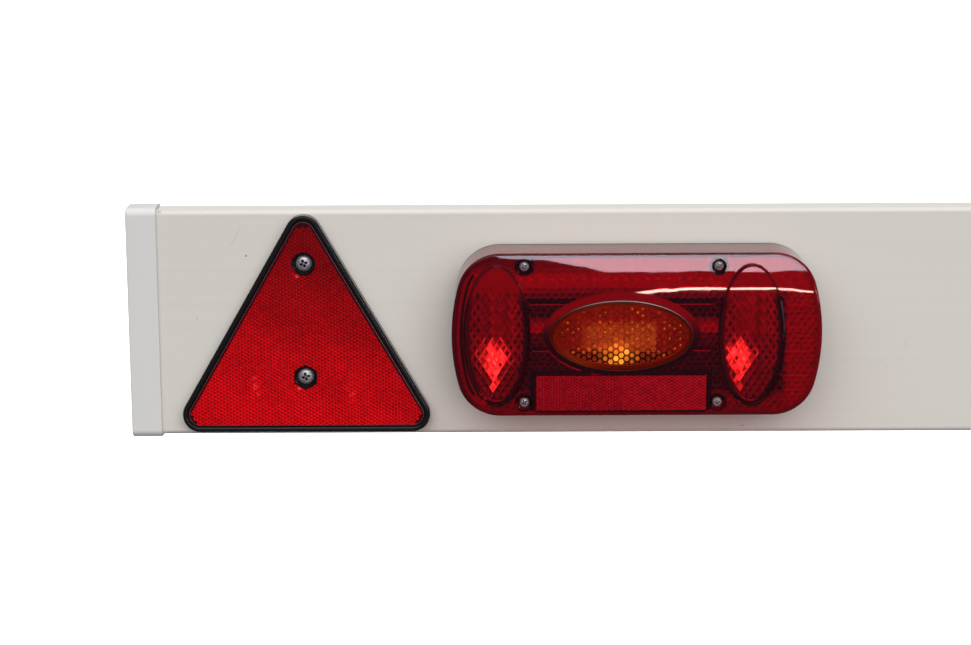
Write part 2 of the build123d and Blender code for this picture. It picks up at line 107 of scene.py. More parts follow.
# %% Colours and nodes
def colour(code):
    """sRGB hex to linear RGBA: values under 0.04045 are divided by 12.92, the rest follow a 2.4 power."""
    srgb = np.array([int(code[i:i + 2], 16) for i in (1, 3, 5)]) / 255
    linear = np.where(srgb <= 0.04045, srgb / 12.92, ((srgb + 0.055) / 1.055) ** 2.4)
    return (*linear.tolist(), 1.0)


def add_node(tree, kind, inputs=None, **settings):
    """Adds a shader node, sets its settings, and fills its inputs with values or links."""
    node = tree.nodes.new("ShaderNode" + kind)
    for name, value in settings.items():
        setattr(node, name, value)
    for socket, value in (inputs or {}).items():
        if isinstance(value, bpy.types.NodeSocket):
            tree.links.new(value, node.inputs[socket])
        else:
            node.inputs[socket].default_value = value
    return node


def new_finish(name):
    """An empty material and its node tree."""
    material = bpy.data.materials.new(name)
    material.use_nodes = True
    material.node_tree.nodes.clear()
    return material, material.node_tree


def dress(material, *names):
    """Puts one finish on every slot of the named solids."""
    for name in names:
        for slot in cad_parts[name].material_slots:
            slot.material = material


def sides(*names):
    """The same node names on the left and on the right."""
    return [f"{side}_{name}" for side in ("left", "right") for name in names]


print("white", [round(v, 3) for v in colour("#D8D4CC")])

# %% [markdown]
# ## Floor
#
# The board was photographed on plain white, held up clear of any surface. So the floor lies well below, and
# starts a little behind it. A floor that is only painted white comes out grey in the picture, so it also
# glows, but only to the camera, and can't be told from the backdrop.

# %% Floor
FLOOR_DROP = 700.0
FLOOR_SPAN = 12000.0
FLOOR_FRONT = 300.0


def add_stage(name, points, material):
    """One flat face through the points, in millimetres. It belongs to the studio, not to the object."""
    mesh = bpy.data.meshes.new(name)
    mesh.from_pydata([[v * MM for v in point] for point in points], [], [range(len(points))])
    mesh.materials.append(material)
    panel = bpy.data.objects.new(name, mesh)
    bpy.context.scene.collection.objects.link(panel)
    return panel


def add_floor():
    """A pale floor, lower than the board and behind it, lifted to the backdrop's white for the camera."""
    material, tree = new_finish("pale_floor_paint")
    path = add_node(tree, "LightPath")
    paint = add_node(tree, "BsdfPrincipled", {
        "Base Color": colour("#E8E8E6"), "Roughness": 0.8,
        "Emission Color": (1, 1, 1, 1), "Emission Strength": path.outputs["Is Camera Ray"]})
    add_node(tree, "OutputMaterial", {"Surface": paint.outputs["BSDF"]})
    half = FLOOR_SPAN / 2
    corners = [(-half, FLOOR_FRONT), (half, FLOOR_FRONT), (half, half), (-half, half)]
    add_stage("floor", [(x, y, -FLOOR_DROP) for x, y in corners], material)


add_floor()
print("floor span", FLOOR_SPAN)

# %% [markdown]
# ## Backdrop and daylight
#
# The backdrop is the world itself. Rays from the camera, and rays that glass or gloss sends out to the back
# and above, see white. Gloss that faces the viewer sees a dim room, as the lamp does in the photograph. Lamps
# could give the daylight, but a world has no hard edges. It holds a wide soft key from above in front, and
# a light from behind and below that keeps the back from going grey. Each grows stronger towards its middle.

# %% Backdrop and daylight
LOW_LIGHT = 0.01
KEY_LIGHT = 2.5
KEY_DIRECTION = (0.05, -0.668, 0.742)
BACK_LIGHT = 2.9
BACK_DIRECTION = (0.0, 0.9, -0.44)
ROOM_LIGHT = 0.05
# The cosines between which a light, or the white that gloss sees, grows from nothing to full
LIGHT_SPREAD = {"From Min": 0.45, "From Max": 0.9}
WHITE_ABOVE = {"From Min": 0.75, "From Max": 0.95}
WHITE_BEHIND = {"From Min": 0.4, "From Max": 0.8}


def add_world():
    """White to the camera. Gloss sees white behind and above, and a dim room in front of the board.

    All other rays see the sum of the key and the back light.
    """
    world = bpy.data.worlds.new("white_studio")
    bpy.context.scene.world = world
    world.use_nodes = True
    tree = world.node_tree
    tree.nodes.clear()
    path = add_node(tree, "LightPath").outputs
    gloss = add_node(tree, "Math", {0: path["Is Glossy Ray"], 1: path["Is Transmission Ray"]},
                     operation="MAXIMUM")
    direct = add_node(tree, "Math", {0: path["Diffuse Depth"], 1: 0.5}, operation="LESS_THAN")
    mirrored = add_node(tree, "Math", {0: gloss.outputs[0], 1: direct.outputs[0]}, operation="MULTIPLY")
    way = add_node(tree, "TexCoord").outputs["Generated"]
    axes = add_node(tree, "SeparateXYZ", {"Vector": way})
    toward_key, toward_back = [
        add_node(tree, "VectorMath", {0: way, 1: direction}, operation="DOT_PRODUCT").outputs["Value"]
        for direction in (KEY_DIRECTION, BACK_DIRECTION)]
    behind = add_node(tree, "MapRange", {"Value": axes.outputs["Y"], **WHITE_BEHIND})
    above = add_node(tree, "MapRange", {"Value": toward_key, **WHITE_ABOVE})
    open_side = add_node(tree, "Math", {0: behind.outputs["Result"], 1: above.outputs["Result"]},
                         operation="MAXIMUM")
    room = add_node(tree, "MapRange", {"Value": open_side.outputs[0], "To Min": ROOM_LIGHT, "To Max": 1.0})
    key = add_node(tree, "MapRange", {
        "Value": toward_key, **LIGHT_SPREAD, "To Min": LOW_LIGHT, "To Max": LOW_LIGHT + KEY_LIGHT})
    back = add_node(tree, "MapRange", {"Value": toward_back, **LIGHT_SPREAD, "To Max": BACK_LIGHT})
    soft = add_node(tree, "Math", {0: key.outputs["Result"], 1: back.outputs["Result"]}, operation="ADD")
    level = add_node(tree, "Mix", {
        "Factor": mirrored.outputs[0], 2: soft.outputs[0], 3: room.outputs["Result"]})
    strength = add_node(tree, "Math", {0: level.outputs[0], 1: path["Is Camera Ray"]}, operation="MAXIMUM")
    background = add_node(tree, "Background", {"Color": (1, 1, 1, 1), "Strength": strength.outputs[0]})
    add_node(tree, "OutputWorld", {"Surface": background.outputs["Background"]})


add_world()
print("key", KEY_LIGHT, "back light", BACK_LIGHT)

# %% [markdown]
# ## Panel lights
#
# Glowing panels do the rest. A large box makes the pale band along the top of the lamp, where the crowned
# lens mirrors its lower edge, and a thin strip makes the cream line across the lens. Area lamps could do it,
# but they have only plain outlines, and the lens shows the outline of what it mirrors. A small red panel
# under each lamp stands for the light that the lens throws on the board.

# %% Panel lights
LIGHT_DISTANCE = 2200.0
SOFT_BOX = [(-311, -72), (1500, -92), (1500, 22), (-770, 22), (-496, 17), (-410, 2)]
SOFT_BOX_RADIANCE = 8.5
STRIP_LIGHT = [(-272, -190), (-246, -200), (-201, -184), (-142, -175), (-58, -178), (-2, -201),
               (-2, -191), (-58, -168), (-142, -164), (-201, -170), (-246, -180)]
STRIP_RADIANCE = 26.0
BOUNCE_LIGHT = [(-500, -112), (-285, -112), (-285, -88), (-500, -88)]
BOUNCE_DISTANCE = 90.0
BOUNCE_RADIANCE = 0.85


def add_panel_light(name, outline, distance, radiance, tint):
    """A flat glowing panel in front of the board, outlined in x and z, that the camera doesn't see."""
    material, tree = new_finish(name + "_cloth")
    cloth = add_node(tree, "Emission", {"Color": colour(tint), "Strength": radiance})
    add_node(tree, "OutputMaterial", {"Surface": cloth.outputs["Emission"]})
    panel = add_stage(name, [(x, -distance, z) for x, z in outline[::-1]], material)
    panel.visible_camera = False
    print(name, "corners", len(outline))


add_panel_light("soft_box", SOFT_BOX, LIGHT_DISTANCE, SOFT_BOX_RADIANCE, "#F2F0FF")
add_panel_light("strip_light", STRIP_LIGHT, LIGHT_DISTANCE, STRIP_RADIANCE, "#FFF0E0")
for side, sign in (("left", 1), ("right", -1)):
    add_panel_light(side + "_bounce_light", [(sign * x, z) for x, z in BOUNCE_LIGHT], BOUNCE_DISTANCE,
                    BOUNCE_RADIANCE, "#FF3830")

# %% [markdown]
# ## Specks and scratches
#
# The photograph shows a few specks and two scratches on the board's front. They could be small pieces, but
# they have no thickness, so they are part of the finish. A speck is a disc, and a scratch is a piece of a
# thin ring. Both read Object coordinates, so they keep their real size and place on the part.

# %% Specks and scratches
BOARD_FRONT = node_box("board_profile")[0][1]
SPECK_CORE = 0.4
# A speck is x, z, radius and strength
SPECKS = [(-628.6, 41.9, 0.8, 0.8), (-324.8, -65.6, 0.7, 0.55), (-659.6, 3.1, 0.9, 0.2),
          (-237.4, -29.1, 0.9, 0.12), (-681.0, 70.0, 2.6, 0.4)]
# A scratch is x, z, radius and half width of a ring, the point where it shows, its reach and strength
SCRATCHES = [(-654.9, 64.2, 23.0, 0.3, (-636.0, 53.5), 10.0, 0.14),
             (-221.8, -15.0, 4.2, 0.4, (-225.5, -14.0), 5.0, 0.08)]


def speck(tree, place, x, z, radius):
    """1 in the core of a disc on the board's front, falling to 0 at its radius."""
    away = add_node(tree, "VectorMath", {0: place, 1: (x * MM, BOARD_FRONT * MM, z * MM)},
                    operation="DISTANCE")
    mask = add_node(tree, "MapRange", {
        "Value": away.outputs["Value"], "From Min": SPECK_CORE * radius * MM, "From Max": radius * MM,
        "To Min": 1.0, "To Max": 0.0})
    return mask.outputs["Result"]


def scratch(tree, place, x, z, radius, half_width, shown, reach):
    """1 where the distance from a point is nearly a radius, and only within a disc about another point."""
    away = add_node(tree, "VectorMath", {0: place, 1: (x * MM, BOARD_FRONT * MM, z * MM)},
                    operation="DISTANCE")
    ring = add_node(tree, "Math", {0: away.outputs["Value"], 1: radius * MM, 2: half_width * MM},
                    operation="COMPARE")
    mask = add_node(tree, "Math", {0: ring.outputs[0], 1: speck(tree, place, *shown, reach)},
                    operation="MULTIPLY")
    return mask.outputs[0]


def soiling(tree, place):
    """The strongest of all specks and scratches."""
    marks = [(speck(tree, place, *shape), strength) for *shape, strength in SPECKS]
    marks += [(scratch(tree, place, *shape), strength) for *shape, strength in SCRATCHES]
    total = 0.0
    for mask, strength in marks:
        mark = add_node(tree, "Math", {0: mask, 1: strength}, operation="MULTIPLY")
        total = add_node(tree, "Math", {0: mark.outputs[0], 1: total}, operation="MAXIMUM").outputs[0]
    return total


print("specks", len(SPECKS), "scratches", len(SCRATCHES))

# %% [markdown]
# ## White plastics
#
# The board is an extruded PVC profile: a warm white with a soft sheen and very faint lines along its length,
# drawn by the die. The end cap is moulded, so it has no lines, and it is a cooler white. A picture of the
# plastic could give its grain, but a noise has no seams, and its scale follows from a real size.

# %% White plastics
DIE_LINE_SPACING = 2.5
DIE_LINE_LENGTH = 400.0
MOULD_GRAIN = 1.2


def grain(tree, size, detail=2.0):
    """A noise in Object coordinates whose grain has a real size in millimetres."""
    place = add_node(tree, "TexCoord")
    noise = add_node(tree, "TexNoise", {
        "Vector": place.outputs["Object"], "Scale": 1 / (size * MM), "Detail": detail})
    return noise.outputs["Fac"]


def extruded_pvc():
    """PVC-U profile: satin, warm white, with die lines along the board, a few specks and scratches."""
    material, tree = new_finish("extruded_white_pvc")
    place = add_node(tree, "TexCoord").outputs["Object"]
    fine = 1 / (DIE_LINE_SPACING * MM)
    stretch = add_node(tree, "Mapping", {
        "Vector": place, "Scale": (1 / (DIE_LINE_LENGTH * MM), fine, fine)})
    lines = add_node(tree, "TexNoise", {"Vector": stretch.outputs["Vector"], "Scale": 1.0, "Detail": 3.0})
    tint = add_node(tree, "Mix", {"Factor": lines.outputs["Fac"], 6: colour("#CFCAC2"), 7: colour("#D3CFC8")},
                    data_type="RGBA")
    darkened_colour = add_node(tree, "Mix", {"Factor": soiling(tree, place), 6: tint.outputs[2], 7: colour("#4A4234")},
                      data_type="RGBA")
    sheen = add_node(tree, "MapRange", {"Value": lines.outputs["Fac"], "To Min": 0.32, "To Max": 0.42})
    bump = add_node(tree, "Bump", {"Height": lines.outputs["Fac"], "Strength": 0.04, "Distance": 0.0002})
    shader = add_node(tree, "BsdfPrincipled", {
        "Base Color": darkened_colour.outputs[2], "Roughness": sheen.outputs["Result"], "IOR": 1.53,
        "Specular IOR Level": 0.25, "Normal": bump.outputs["Normal"]})
    add_node(tree, "OutputMaterial", {"Surface": shader.outputs["BSDF"]})
    return material


def moulded_white():
    """Moulded PVC cap: a cooler white with the fine grain of its mould."""
    material, tree = new_finish("moulded_white_pvc")
    noise = grain(tree, MOULD_GRAIN)
    tint = add_node(tree, "Mix", {"Factor": noise, 6: colour("#CECDCB"), 7: colour("#D2D1CF")},
                    data_type="RGBA")
    bump = add_node(tree, "Bump", {"Height": noise, "Strength": 0.05, "Distance": 0.0002})
    shader = add_node(tree, "BsdfPrincipled", {
        "Base Color": tint.outputs[2], "Roughness": 0.5, "IOR": 1.53, "Specular IOR Level": 0.08,
        "Normal": bump.outputs["Normal"]})
    add_node(tree, "OutputMaterial", {"Surface": shader.outputs["BSDF"]})
    return material


dress(extruded_pvc(), "board_profile")
dress(moulded_white(), *sides("end_cap"))
print("die lines every", DIE_LINE_SPACING, "mm")

# %% [markdown]
# ## Dark plastic and rubber
#
# The triangle's holder is glossy moulded plastic, the lamp's base is the same stuff with a matt grain,
# and the gasket, grommets and lead are rubber or soft PVC. The triangle and the reflex strip are plates
# of red acrylic. Pins cover their faces, so only their edges and the wells round the screws show, where
# thick plastic looks nearly black: a dark red gloss is enough, and nothing has to be seen through it.
# Dark parts differ mostly in colour and roughness, so one function makes them all from a colour, a
# roughness, and the size and depth of their grain.

# %% Dark plastic and rubber
def dark_plastic(name, code, roughness, size, depth):
    """A dark plastic whose roughness and bump follow a grain of a given size and depth."""
    material, tree = new_finish(name)
    noise = grain(tree, size, 3.0)
    rough = add_node(tree, "MapRange", {"Value": noise, "To Min": roughness * 0.8, "To Max": roughness * 1.2})
    bump = add_node(tree, "Bump", {"Height": noise, "Strength": 0.2, "Distance": depth * MM})
    shader = add_node(tree, "BsdfPrincipled", {
        "Base Color": colour(code), "Roughness": rough.outputs["Result"], "IOR": 1.5,
        "Normal": bump.outputs["Normal"]})
    add_node(tree, "OutputMaterial", {"Surface": shader.outputs["BSDF"]})
    return material


dress(dark_plastic("glossy_black_abs", "#141416", 0.22, 3.0, 0.02), *sides("triangle_holder"))
dress(dark_plastic("grained_black_abs", "#161618", 0.5, 1.0, 0.05), *sides("lamp_base"))
dress(dark_plastic("black_rubber", "#151515", 0.75, 0.8, 0.08), "supply_grommet",
      *sides("lens_gasket", "lead_grommet"))
dress(dark_plastic("lead_sheath_pvc", "#121213", 0.55, 1.5, 0.05), "link_lead")
dress(dark_plastic("dark_red_acrylic", "#34040A", 0.12, 4.0, 0.01), *sides("triangle_lens"))
dress(dark_plastic("shaded_red_acrylic", "#26030A", 0.12, 4.0, 0.01), *sides("reflex_reflector"))
# The triangle's lip is painted a pale purple-grey: a painted highlight along the plate's edge
edge_highlight_paint = dark_plastic("edge_of_red_acrylic", "#50303A", 0.25, 4.0, 0.01)
print("finishes so far", len(bpy.data.materials))

# %% [markdown]
# ## Metals and bulbs
#
# The screws are zinc-plated steel, the bulb holders are brass, and the dishes inside the lamp are plastic
# with a coat of aluminium. A metal's look is its colour and its roughness, so the roughness varies with a
# fine noise. The dirt and painted shade in a screw's recess are a darker colour that the mesh asks for face
# by face. The bulbs are thin glass with a faint light in them.

# %% Metals and bulbs
GLASS_WAVE = 8.0
BULB_LIGHT = 1.0
WINDOWS = ("outer", "inner", "indicator")


def metal_finish(name, code, roughness, size, metallic=1.0):
    """A bare metal with a faint mottle in its roughness, and dirt and painted shade where a face has a
    recess.
    """
    material, tree = new_finish(name)
    # The recess darkens the metal: dirt, and painted shade in the cross's arms
    recess = add_node(tree, "Attribute", attribute_name="recess")
    darkened_colour = add_node(tree, "Mix", {"Factor": recess.outputs["Fac"], 6: colour(code), 7: colour("#141416")},
                      data_type="RGBA")
    rough = add_node(tree, "MapRange", {
        "Value": grain(tree, size, 4.0), "To Min": roughness * 0.6, "To Max": roughness * 1.4})
    shader = add_node(tree, "BsdfPrincipled", {
        "Base Color": darkened_colour.outputs[2], "Metallic": metallic, "Roughness": rough.outputs["Result"]})
    add_node(tree, "OutputMaterial", {"Surface": shader.outputs["BSDF"]})
    return material


def bulb_glass():
    """Clear soda glass with a faint waviness from blowing, lit by the filament."""
    material, tree = new_finish("blown_bulb_glass")
    bump = add_node(tree, "Bump", {"Height": grain(tree, GLASS_WAVE), "Strength": 0.1, "Distance": 0.0005})
    shader = add_node(tree, "BsdfPrincipled", {
        "Base Color": colour("#F6F4EE"), "Transmission Weight": 1.0, "Roughness": 0.03, "IOR": 1.52,
        "Emission Color": colour("#FFDCB0"), "Emission Strength": BULB_LIGHT,
        "Normal": bump.outputs["Normal"]})
    add_node(tree, "OutputMaterial", {"Surface": shader.outputs["BSDF"]})
    return material


zinc = metal_finish("zinc_plated_steel", "#E2DEE4", 0.32, 3.0, 0.85)
dress(zinc, *sides("triangle_screws", "lens_screws", "mount_screws"))
dress(metal_finish("rolled_brass", "#C9A45C", 0.3, 2.0), *sides(*[f"{w}_bulb_holder" for w in WINDOWS]))
dress(metal_finish("aluminised_plastic", "#E4E4E4", 0.1, 5.0), *sides(*[f"{w}_dish" for w in WINDOWS]))
dress(bulb_glass(), *sides(*[f"{w}_bulb" for w in WINDOWS]))
print("lamps a side", len(WINDOWS))

# %% [markdown]
# ## Clear red and amber acrylic
#
# The lamp's shell is clear acrylic, coloured all the way through. Light that crosses a thin wall stays
# bright red, and light that runs along a wall comes out nearly black, which is why the lens has a dark
# line round its edge. A surface tint alone can't do that, so most of the colour is a volume that absorbs.
# The surface is clear gloss with acrylic's own refractive index, a slight tint and a trace of cloud.

# %% Clear red and amber acrylic
ACRYLIC_WAVE = 14.0


def clear_acrylic(name, tint, cloud, code, density):
    """Acrylic, IOR 1.49: a glossy surface, faintly clouded, round a volume that absorbs other colours."""
    material, tree = new_finish(name)
    bump = add_node(tree, "Bump", {
        "Height": grain(tree, ACRYLIC_WAVE, 1.0), "Strength": 0.03, "Distance": 0.0006})
    shader = add_node(tree, "BsdfPrincipled", {
        "Base Color": colour(tint), "Transmission Weight": 1 - cloud, "Roughness": 0.02, "IOR": 1.49,
        "Normal": bump.outputs["Normal"]})
    volume = add_node(tree, "VolumeAbsorption", {"Color": colour(code), "Density": density})
    add_node(tree, "OutputMaterial", {"Surface": shader.outputs["BSDF"], "Volume": volume.outputs["Volume"]})
    return material


dress(clear_acrylic("clear_red_acrylic", "#F85C98", 0.012, "#FC2030", 800.0), *sides("lamp_lens"))
dress(clear_acrylic("clear_amber_acrylic", "#FCE0D0", 0.0, "#FBB030", 400.0), *sides("indicator_window"))
print("finishes on the solids", len(bpy.data.materials))

# %% [markdown]
# ## Moulded optics: cells on a lattice
#
# Lamp lenses and reflectors are covered with small repeated cells: rhombic prisms, round pillows, hexagonal
# pins. An array modifier could repeat one cell, but it can't trim a field to an oval or shade each cell by
# its place. So the whole field is worked out as arrays: every cell's centre plus every corner's offset. A
# cell has a middle point and one or more rings of corners round it, and each ring is set back by its own
# depth. Corners that reach past the edge of the field are drawn back to it, so that it ends in a clean line.

# %% Moulded optics: cells on a lattice
LATTICE_COUNT = 60


def lattice(step, reach):
    """Points i * (a, b) + j * (-a, b) of a staggered lattice, within reach of the origin both ways."""
    count = np.arange(-LATTICE_COUNT, LATTICE_COUNT + 1)
    i, j = np.meshgrid(count, count, indexing="ij")
    points = np.stack([i - j, i + j], -1).reshape(-1, 2) * np.array(step)
    return points[(np.abs(points) <= np.array(reach)).all(1)]


def cell_field(centres, corners, rings, middle):
    """Places, set-backs and faces of cells. A ring is (share of the corner's offset, depth per corner)."""
    corners = np.array(corners)
    sides_count = len(corners)
    offsets = np.concatenate([share * corners for share, _ in rings] + [np.zeros((1, 2))])
    depths = np.concatenate([np.broadcast_to(depth, sides_count) for _, depth in rings] + [[middle]])
    flat = centres[:, None, :] + offsets
    here = np.arange(sides_count)
    then = np.roll(here, -1)
    faces = []
    for low in np.arange(len(rings) - 1) * sides_count:
        high = low + sides_count
        faces += [*np.stack([low + here, low + then, high + then, high + here], 1)]
    low = (len(rings) - 1) * sides_count
    faces += [*np.stack([low + here, low + then, np.full(sides_count, len(offsets) - 1)], 1)]
    return flat, np.broadcast_to(depths, flat.shape[:2]), repeat_faces(faces, len(centres), len(offsets))


def repeat_faces(faces, cells, points_per_cell):
    """One cell's faces, shifted on for every cell: all corners in one row, and each face's corner count."""
    counts = np.tile([len(face) for face in faces], cells)
    corners = np.arange(cells)[:, None] * points_per_cell + np.concatenate(faces)
    return corners.ravel(), counts


def grid_faces(rows, columns, closed=False):
    """Quads of a grid of points, row after row. A closed grid joins its last column to its first."""
    row, column = np.meshgrid(np.arange(rows - 1), np.arange(columns - (not closed)), indexing="ij")
    after = (column + 1) % columns
    quads = np.stack([row * columns + column, row * columns + after,
                      (row + 1) * columns + after, (row + 1) * columns + column], -1)
    return quads.reshape(-1, 4)


print("lattice of 10 mm steps within 25 mm", len(lattice((10, 10), (25, 25))))

# %% [markdown]
# ## From arrays to pieces
#
# Points and faces go into a mesh as whole arrays, which is much faster than one by one. Each face can carry
# numbers, which its finish reads as attributes, and two small functions blend such numbers from one zone to
# the next. A thin sheet gets its wall from a Solidify modifier. The two lamps and triangles are mirror
# images, so every piece is worked out on the left and made twice.

# %% From arrays to pieces
def add_piece(name, points, faces, material, slot, values=None, thickness=0.0, smooth=False):
    """Puts points in millimetres and faces into a mesh, gives faces their values, and lets the piece ride."""
    corners, counts = faces
    mesh = bpy.data.meshes.new(name)
    mesh.vertices.add(len(points))
    mesh.vertices.foreach_set("co", (points * MM).astype(np.float32).ravel())
    mesh.loops.add(len(corners))
    mesh.loops.foreach_set("vertex_index", corners.astype(np.int32))
    mesh.polygons.add(len(counts))
    mesh.polygons.foreach_set("loop_start", (np.cumsum(counts) - counts).astype(np.int32))
    mesh.polygons.foreach_set("use_smooth", np.full(len(counts), smooth))
    mesh.update(calc_edges=True)
    for key, numbers in (values or {}).items():
        numbers = np.broadcast_to(numbers, (len(counts),)).astype(np.float32)
        mesh.attributes.new(key, "FLOAT", "FACE").data.foreach_set("value", numbers)
    mesh.materials.append(material)
    piece = bpy.data.objects.new(name, mesh)
    bpy.context.scene.collection.objects.link(piece)
    if thickness:
        wall = piece.modifiers.new("wall", "SOLIDIFY")
        wall.thickness = thickness * MM
        wall.offset = -1
    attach(piece, "root")
    return piece


def add_both_sides(name, points, faces, material, slot, values=None, **options):
    """The left piece, and its mirror image. Reading the corners backwards turns the right one's faces out."""
    points = points.reshape(-1, 3)
    corners, counts = faces
    left = add_piece("left_" + name, points, faces, material, slot, values, **options)
    turned = {key: np.broadcast_to(numbers, len(counts))[::-1] for key, numbers in (values or {}).items()}
    right = add_piece("right_" + name, points * [-1, 1, 1], (corners[::-1], counts[::-1]), material, slot,
                      turned, **options)
    print(name, "faces a side", len(counts))
    return left, right


def smooth_step(value, start, end):
    """0 before start, 1 after end, and 3t^2 - 2t^3 between them."""
    t = np.clip((value - start) / (end - start), 0, 1)
    return t * t * (3 - 2 * t)


def between(value, start, end, edge):
    """1 from start to end, falling to 0 over an edge on both sides."""
    return smooth_step(value, start - edge, start + edge) * (1 - smooth_step(value, end - edge, end + edge))


print("half-way from one zone to the next", smooth_step(0.5, 0, 1))

# %% [markdown]
# ## What the optics are painted with
#
# The cells are moulded in the lens's own plastic. Real prisms bend light, but tracing that through hundreds
# of cells is slow and noisy, so their light is painted. Each face carries three numbers that follow from
# where its cell sits: a shade, painted light that says how much of the dish behind it that face picks up,
# a tint, which moves its colour between two neighbours, and a glow, painted light that says how much of the
# bulb it shows. The bulb is a warm white, and the coloured shell in front of the cells makes it red or
# yellow.

# %% Moulded acrylic
def moulded_acrylic(name, deep, first, second, light, strength, roughness):
    """Moulded facets: two colours mixed by tint, dimmed to a third by painted shade, lit by painted glow."""
    material, tree = new_finish(name)
    shade, tint, glow = [add_node(tree, "Attribute", attribute_name=key).outputs["Fac"]
                         for key in ("shade", "tint", "glow")]
    hue = add_node(tree, "Mix", {"Factor": tint, 6: colour(first), 7: colour(second)}, data_type="RGBA")
    paint = add_node(tree, "Mix", {"Factor": shade, 6: colour(deep), 7: hue.outputs[2]}, data_type="RGBA")
    power = add_node(tree, "Math", {0: glow, 1: strength}, operation="MULTIPLY")
    shader = add_node(tree, "BsdfPrincipled", {
        "Base Color": paint.outputs[2], "Roughness": roughness, "IOR": 1.49, "Specular IOR Level": 0.08,
        "Emission Color": colour(light), "Emission Strength": power.outputs[0]})
    add_node(tree, "OutputMaterial", {"Surface": shader.outputs["BSDF"]})
    return material


red_facets = moulded_acrylic("moulded_red_facets", "#080001", "#FF1A28", "#FF3A20", "#FFFC98", 2.5, 0.2)
amber_facets = moulded_acrylic("moulded_amber_facets", "#1C0502", "#F43C68", "#F2C490", "#FFC850", 2.2, 0.2)
pin_facets = moulded_acrylic("moulded_reflector_pins", "#240104", "#E00612", "#E01028", "#FF9C98", 1.0, 0.25)
# The amber lip's pale pink is a painted highlight, which its shade puts only where light would catch it
lip_highlight_finish = moulded_acrylic("moulded_amber_lip", "#2A0608", "#E8C8D0", "#E8C8D0", "#FFF0D8", 1.0, 0.15)
print("finishes in all", len(bpy.data.materials))

# %% [markdown]
# ## Lamp places
#
# The lamp's windows follow from the solids: the lens's box gives the crown and the outline, the dishes
# give the middles of the two upright ovals, and the amber window gives the indicator. The lens front
# is a cylinder lying along the board, so its set-back at a height is the height squared over twice
# the crown's radius. These places could be typed in, but read from the frame they stay true to it.

# %% Lamp places
OVAL_RISE = 3.0
LENS_WALL = 2.5
CROWN_RADIUS = 600.0
OVAL_SIZE = np.array([40.5, 86.5])
INDICATOR_FLANGE = 2.0
INDICATOR_RISE = 1.6
AIR_GAP = 0.25
LENS_SCREW_RADIUS = 2.95
BOSS_RADIUS = 5.75

lens_low, lens_high = node_box("left_lamp_lens")
LAMP_MIDDLE = (lens_low + lens_high)[[0, 2]] / 2
LAMP_HALF = (lens_high - lens_low)[[0, 2]] / 2
CROWN_FRONT = lens_low[1] + OVAL_RISE
PANEL_FRONT = CROWN_FRONT + LENS_WALL + AIR_GAP
OVAL_FRONT = PANEL_FRONT - OVAL_RISE
INDICATOR_FRONT = PANEL_FRONT - INDICATOR_RISE
OVAL_MIDDLES = {window: np.add(*node_box(f"left_{window}_dish"))[[0, 2]] / 2 for window in WINDOWS[:2]}
window_low, window_high = node_box("left_indicator_window")
INDICATOR_MIDDLE = (window_low + window_high)[[0, 2]] / 2
INDICATOR_HALF = (window_high - window_low)[[0, 2]] / 2 - INDICATOR_FLANGE
INDICATOR_COVER = INDICATOR_HALF + INDICATOR_FLANGE + 1.0
strip_low, strip_high = node_box("left_reflex_reflector")
heads_low, heads_high = node_box("left_lens_screws")
LENS_SCREWS = np.array([[x, z] for x in (heads_low[0] + LENS_SCREW_RADIUS, heads_high[0] - LENS_SCREW_RADIUS)
                        for z in (heads_low[2] + LENS_SCREW_RADIUS, heads_high[2] - LENS_SCREW_RADIUS)])


def crowned(flat, depth, front):
    """Points of the crowned front: x and z as given, y at the front's set-back plus the depth."""
    drop = (flat[..., 1] - LAMP_MIDDLE[1]) ** 2 / (2 * CROWN_RADIUS)
    return np.stack([flat[..., 0], front + drop + depth, flat[..., 1]], -1)


def hold_in_ellipse(flat, middle, half):
    """Draws points outside an ellipse back to it, along the line to its middle."""
    away = (flat - middle) / half
    reach = np.linalg.norm(away, axis=-1, keepdims=True)
    return middle + half * away / np.maximum(reach, 1.0)


def push_out_of_ellipse(flat, middle, half):
    """Pushes points inside an ellipse out to it, away from its middle."""
    away = (flat - middle) / half
    reach = np.maximum(np.linalg.norm(away, axis=-1, keepdims=True), 1e-9)
    return middle + half * away * np.maximum(1, 1 / reach)


print("lamp middle", LAMP_MIDDLE, "indicator half", INDICATOR_HALF)

# %% [markdown]
# ## Upright ovals: rhombic prisms
#
# The tail and brake lamps shine through two upright ovals, lined with tall rhombic prisms. A bump pattern
# could draw them, but only real facets can each carry a painted light of their own. Each prism is a shallow
# four-sided pyramid sunk into the lens, with a frame of four flanks and a tip of four more. A painted glow
# stands for the bulb behind, as a pointed cluster of bright cells in the prisms near it. Above it painted
# shade stands for the dish, as upright streaks, so each column of cells has its own shade. Below it the
# flanks that face the bulb are painted lighter, which draws chevrons. A rim closes the field, so that no
# light leaks round it.

# %% Upright ovals: painted light of the bulbs
FRAME_FACETS = np.array([True] * 4 + [False] * 4)
LEFT_FACETS = np.array([0, 1, 1, 0] * 2)
# The shield of light about a bulb, from the oval's middle, and its three zones as (reach, fade) in shields
GLOW_MIDDLES = {"outer": np.array([-1.8, -12.5]), "inner": np.array([-7.5, -12.5])}
GLOW_HALF_WIDTH = 9.6
GLOW_ABOVE = 11.0
GLOW_BELOW = 23.0
GLOW_NARROWEST = 0.05
CORE, HEART, CENTRE = (1.35, 0.6), (0.9, 0.3), (0.75, 0.7)
HEART_JITTER = 0.15
FRAME_SPREAD, TIP_SPREAD, GLOW_SPREAD = (0.25, 1.1), (0.0, 1.2), (0.15, 1.35)
INWARD_GLOW, OUTWARD_GLOW = 0.1, 0.7
FADE_BELOW = (6, 16)
LOW_DIM, LOW_HEART_DIM = 0.9, 0.55
GLOW_LEVEL, CENTRE_LEVEL = 0.75, 1.6
rng = np.random.default_rng(7)


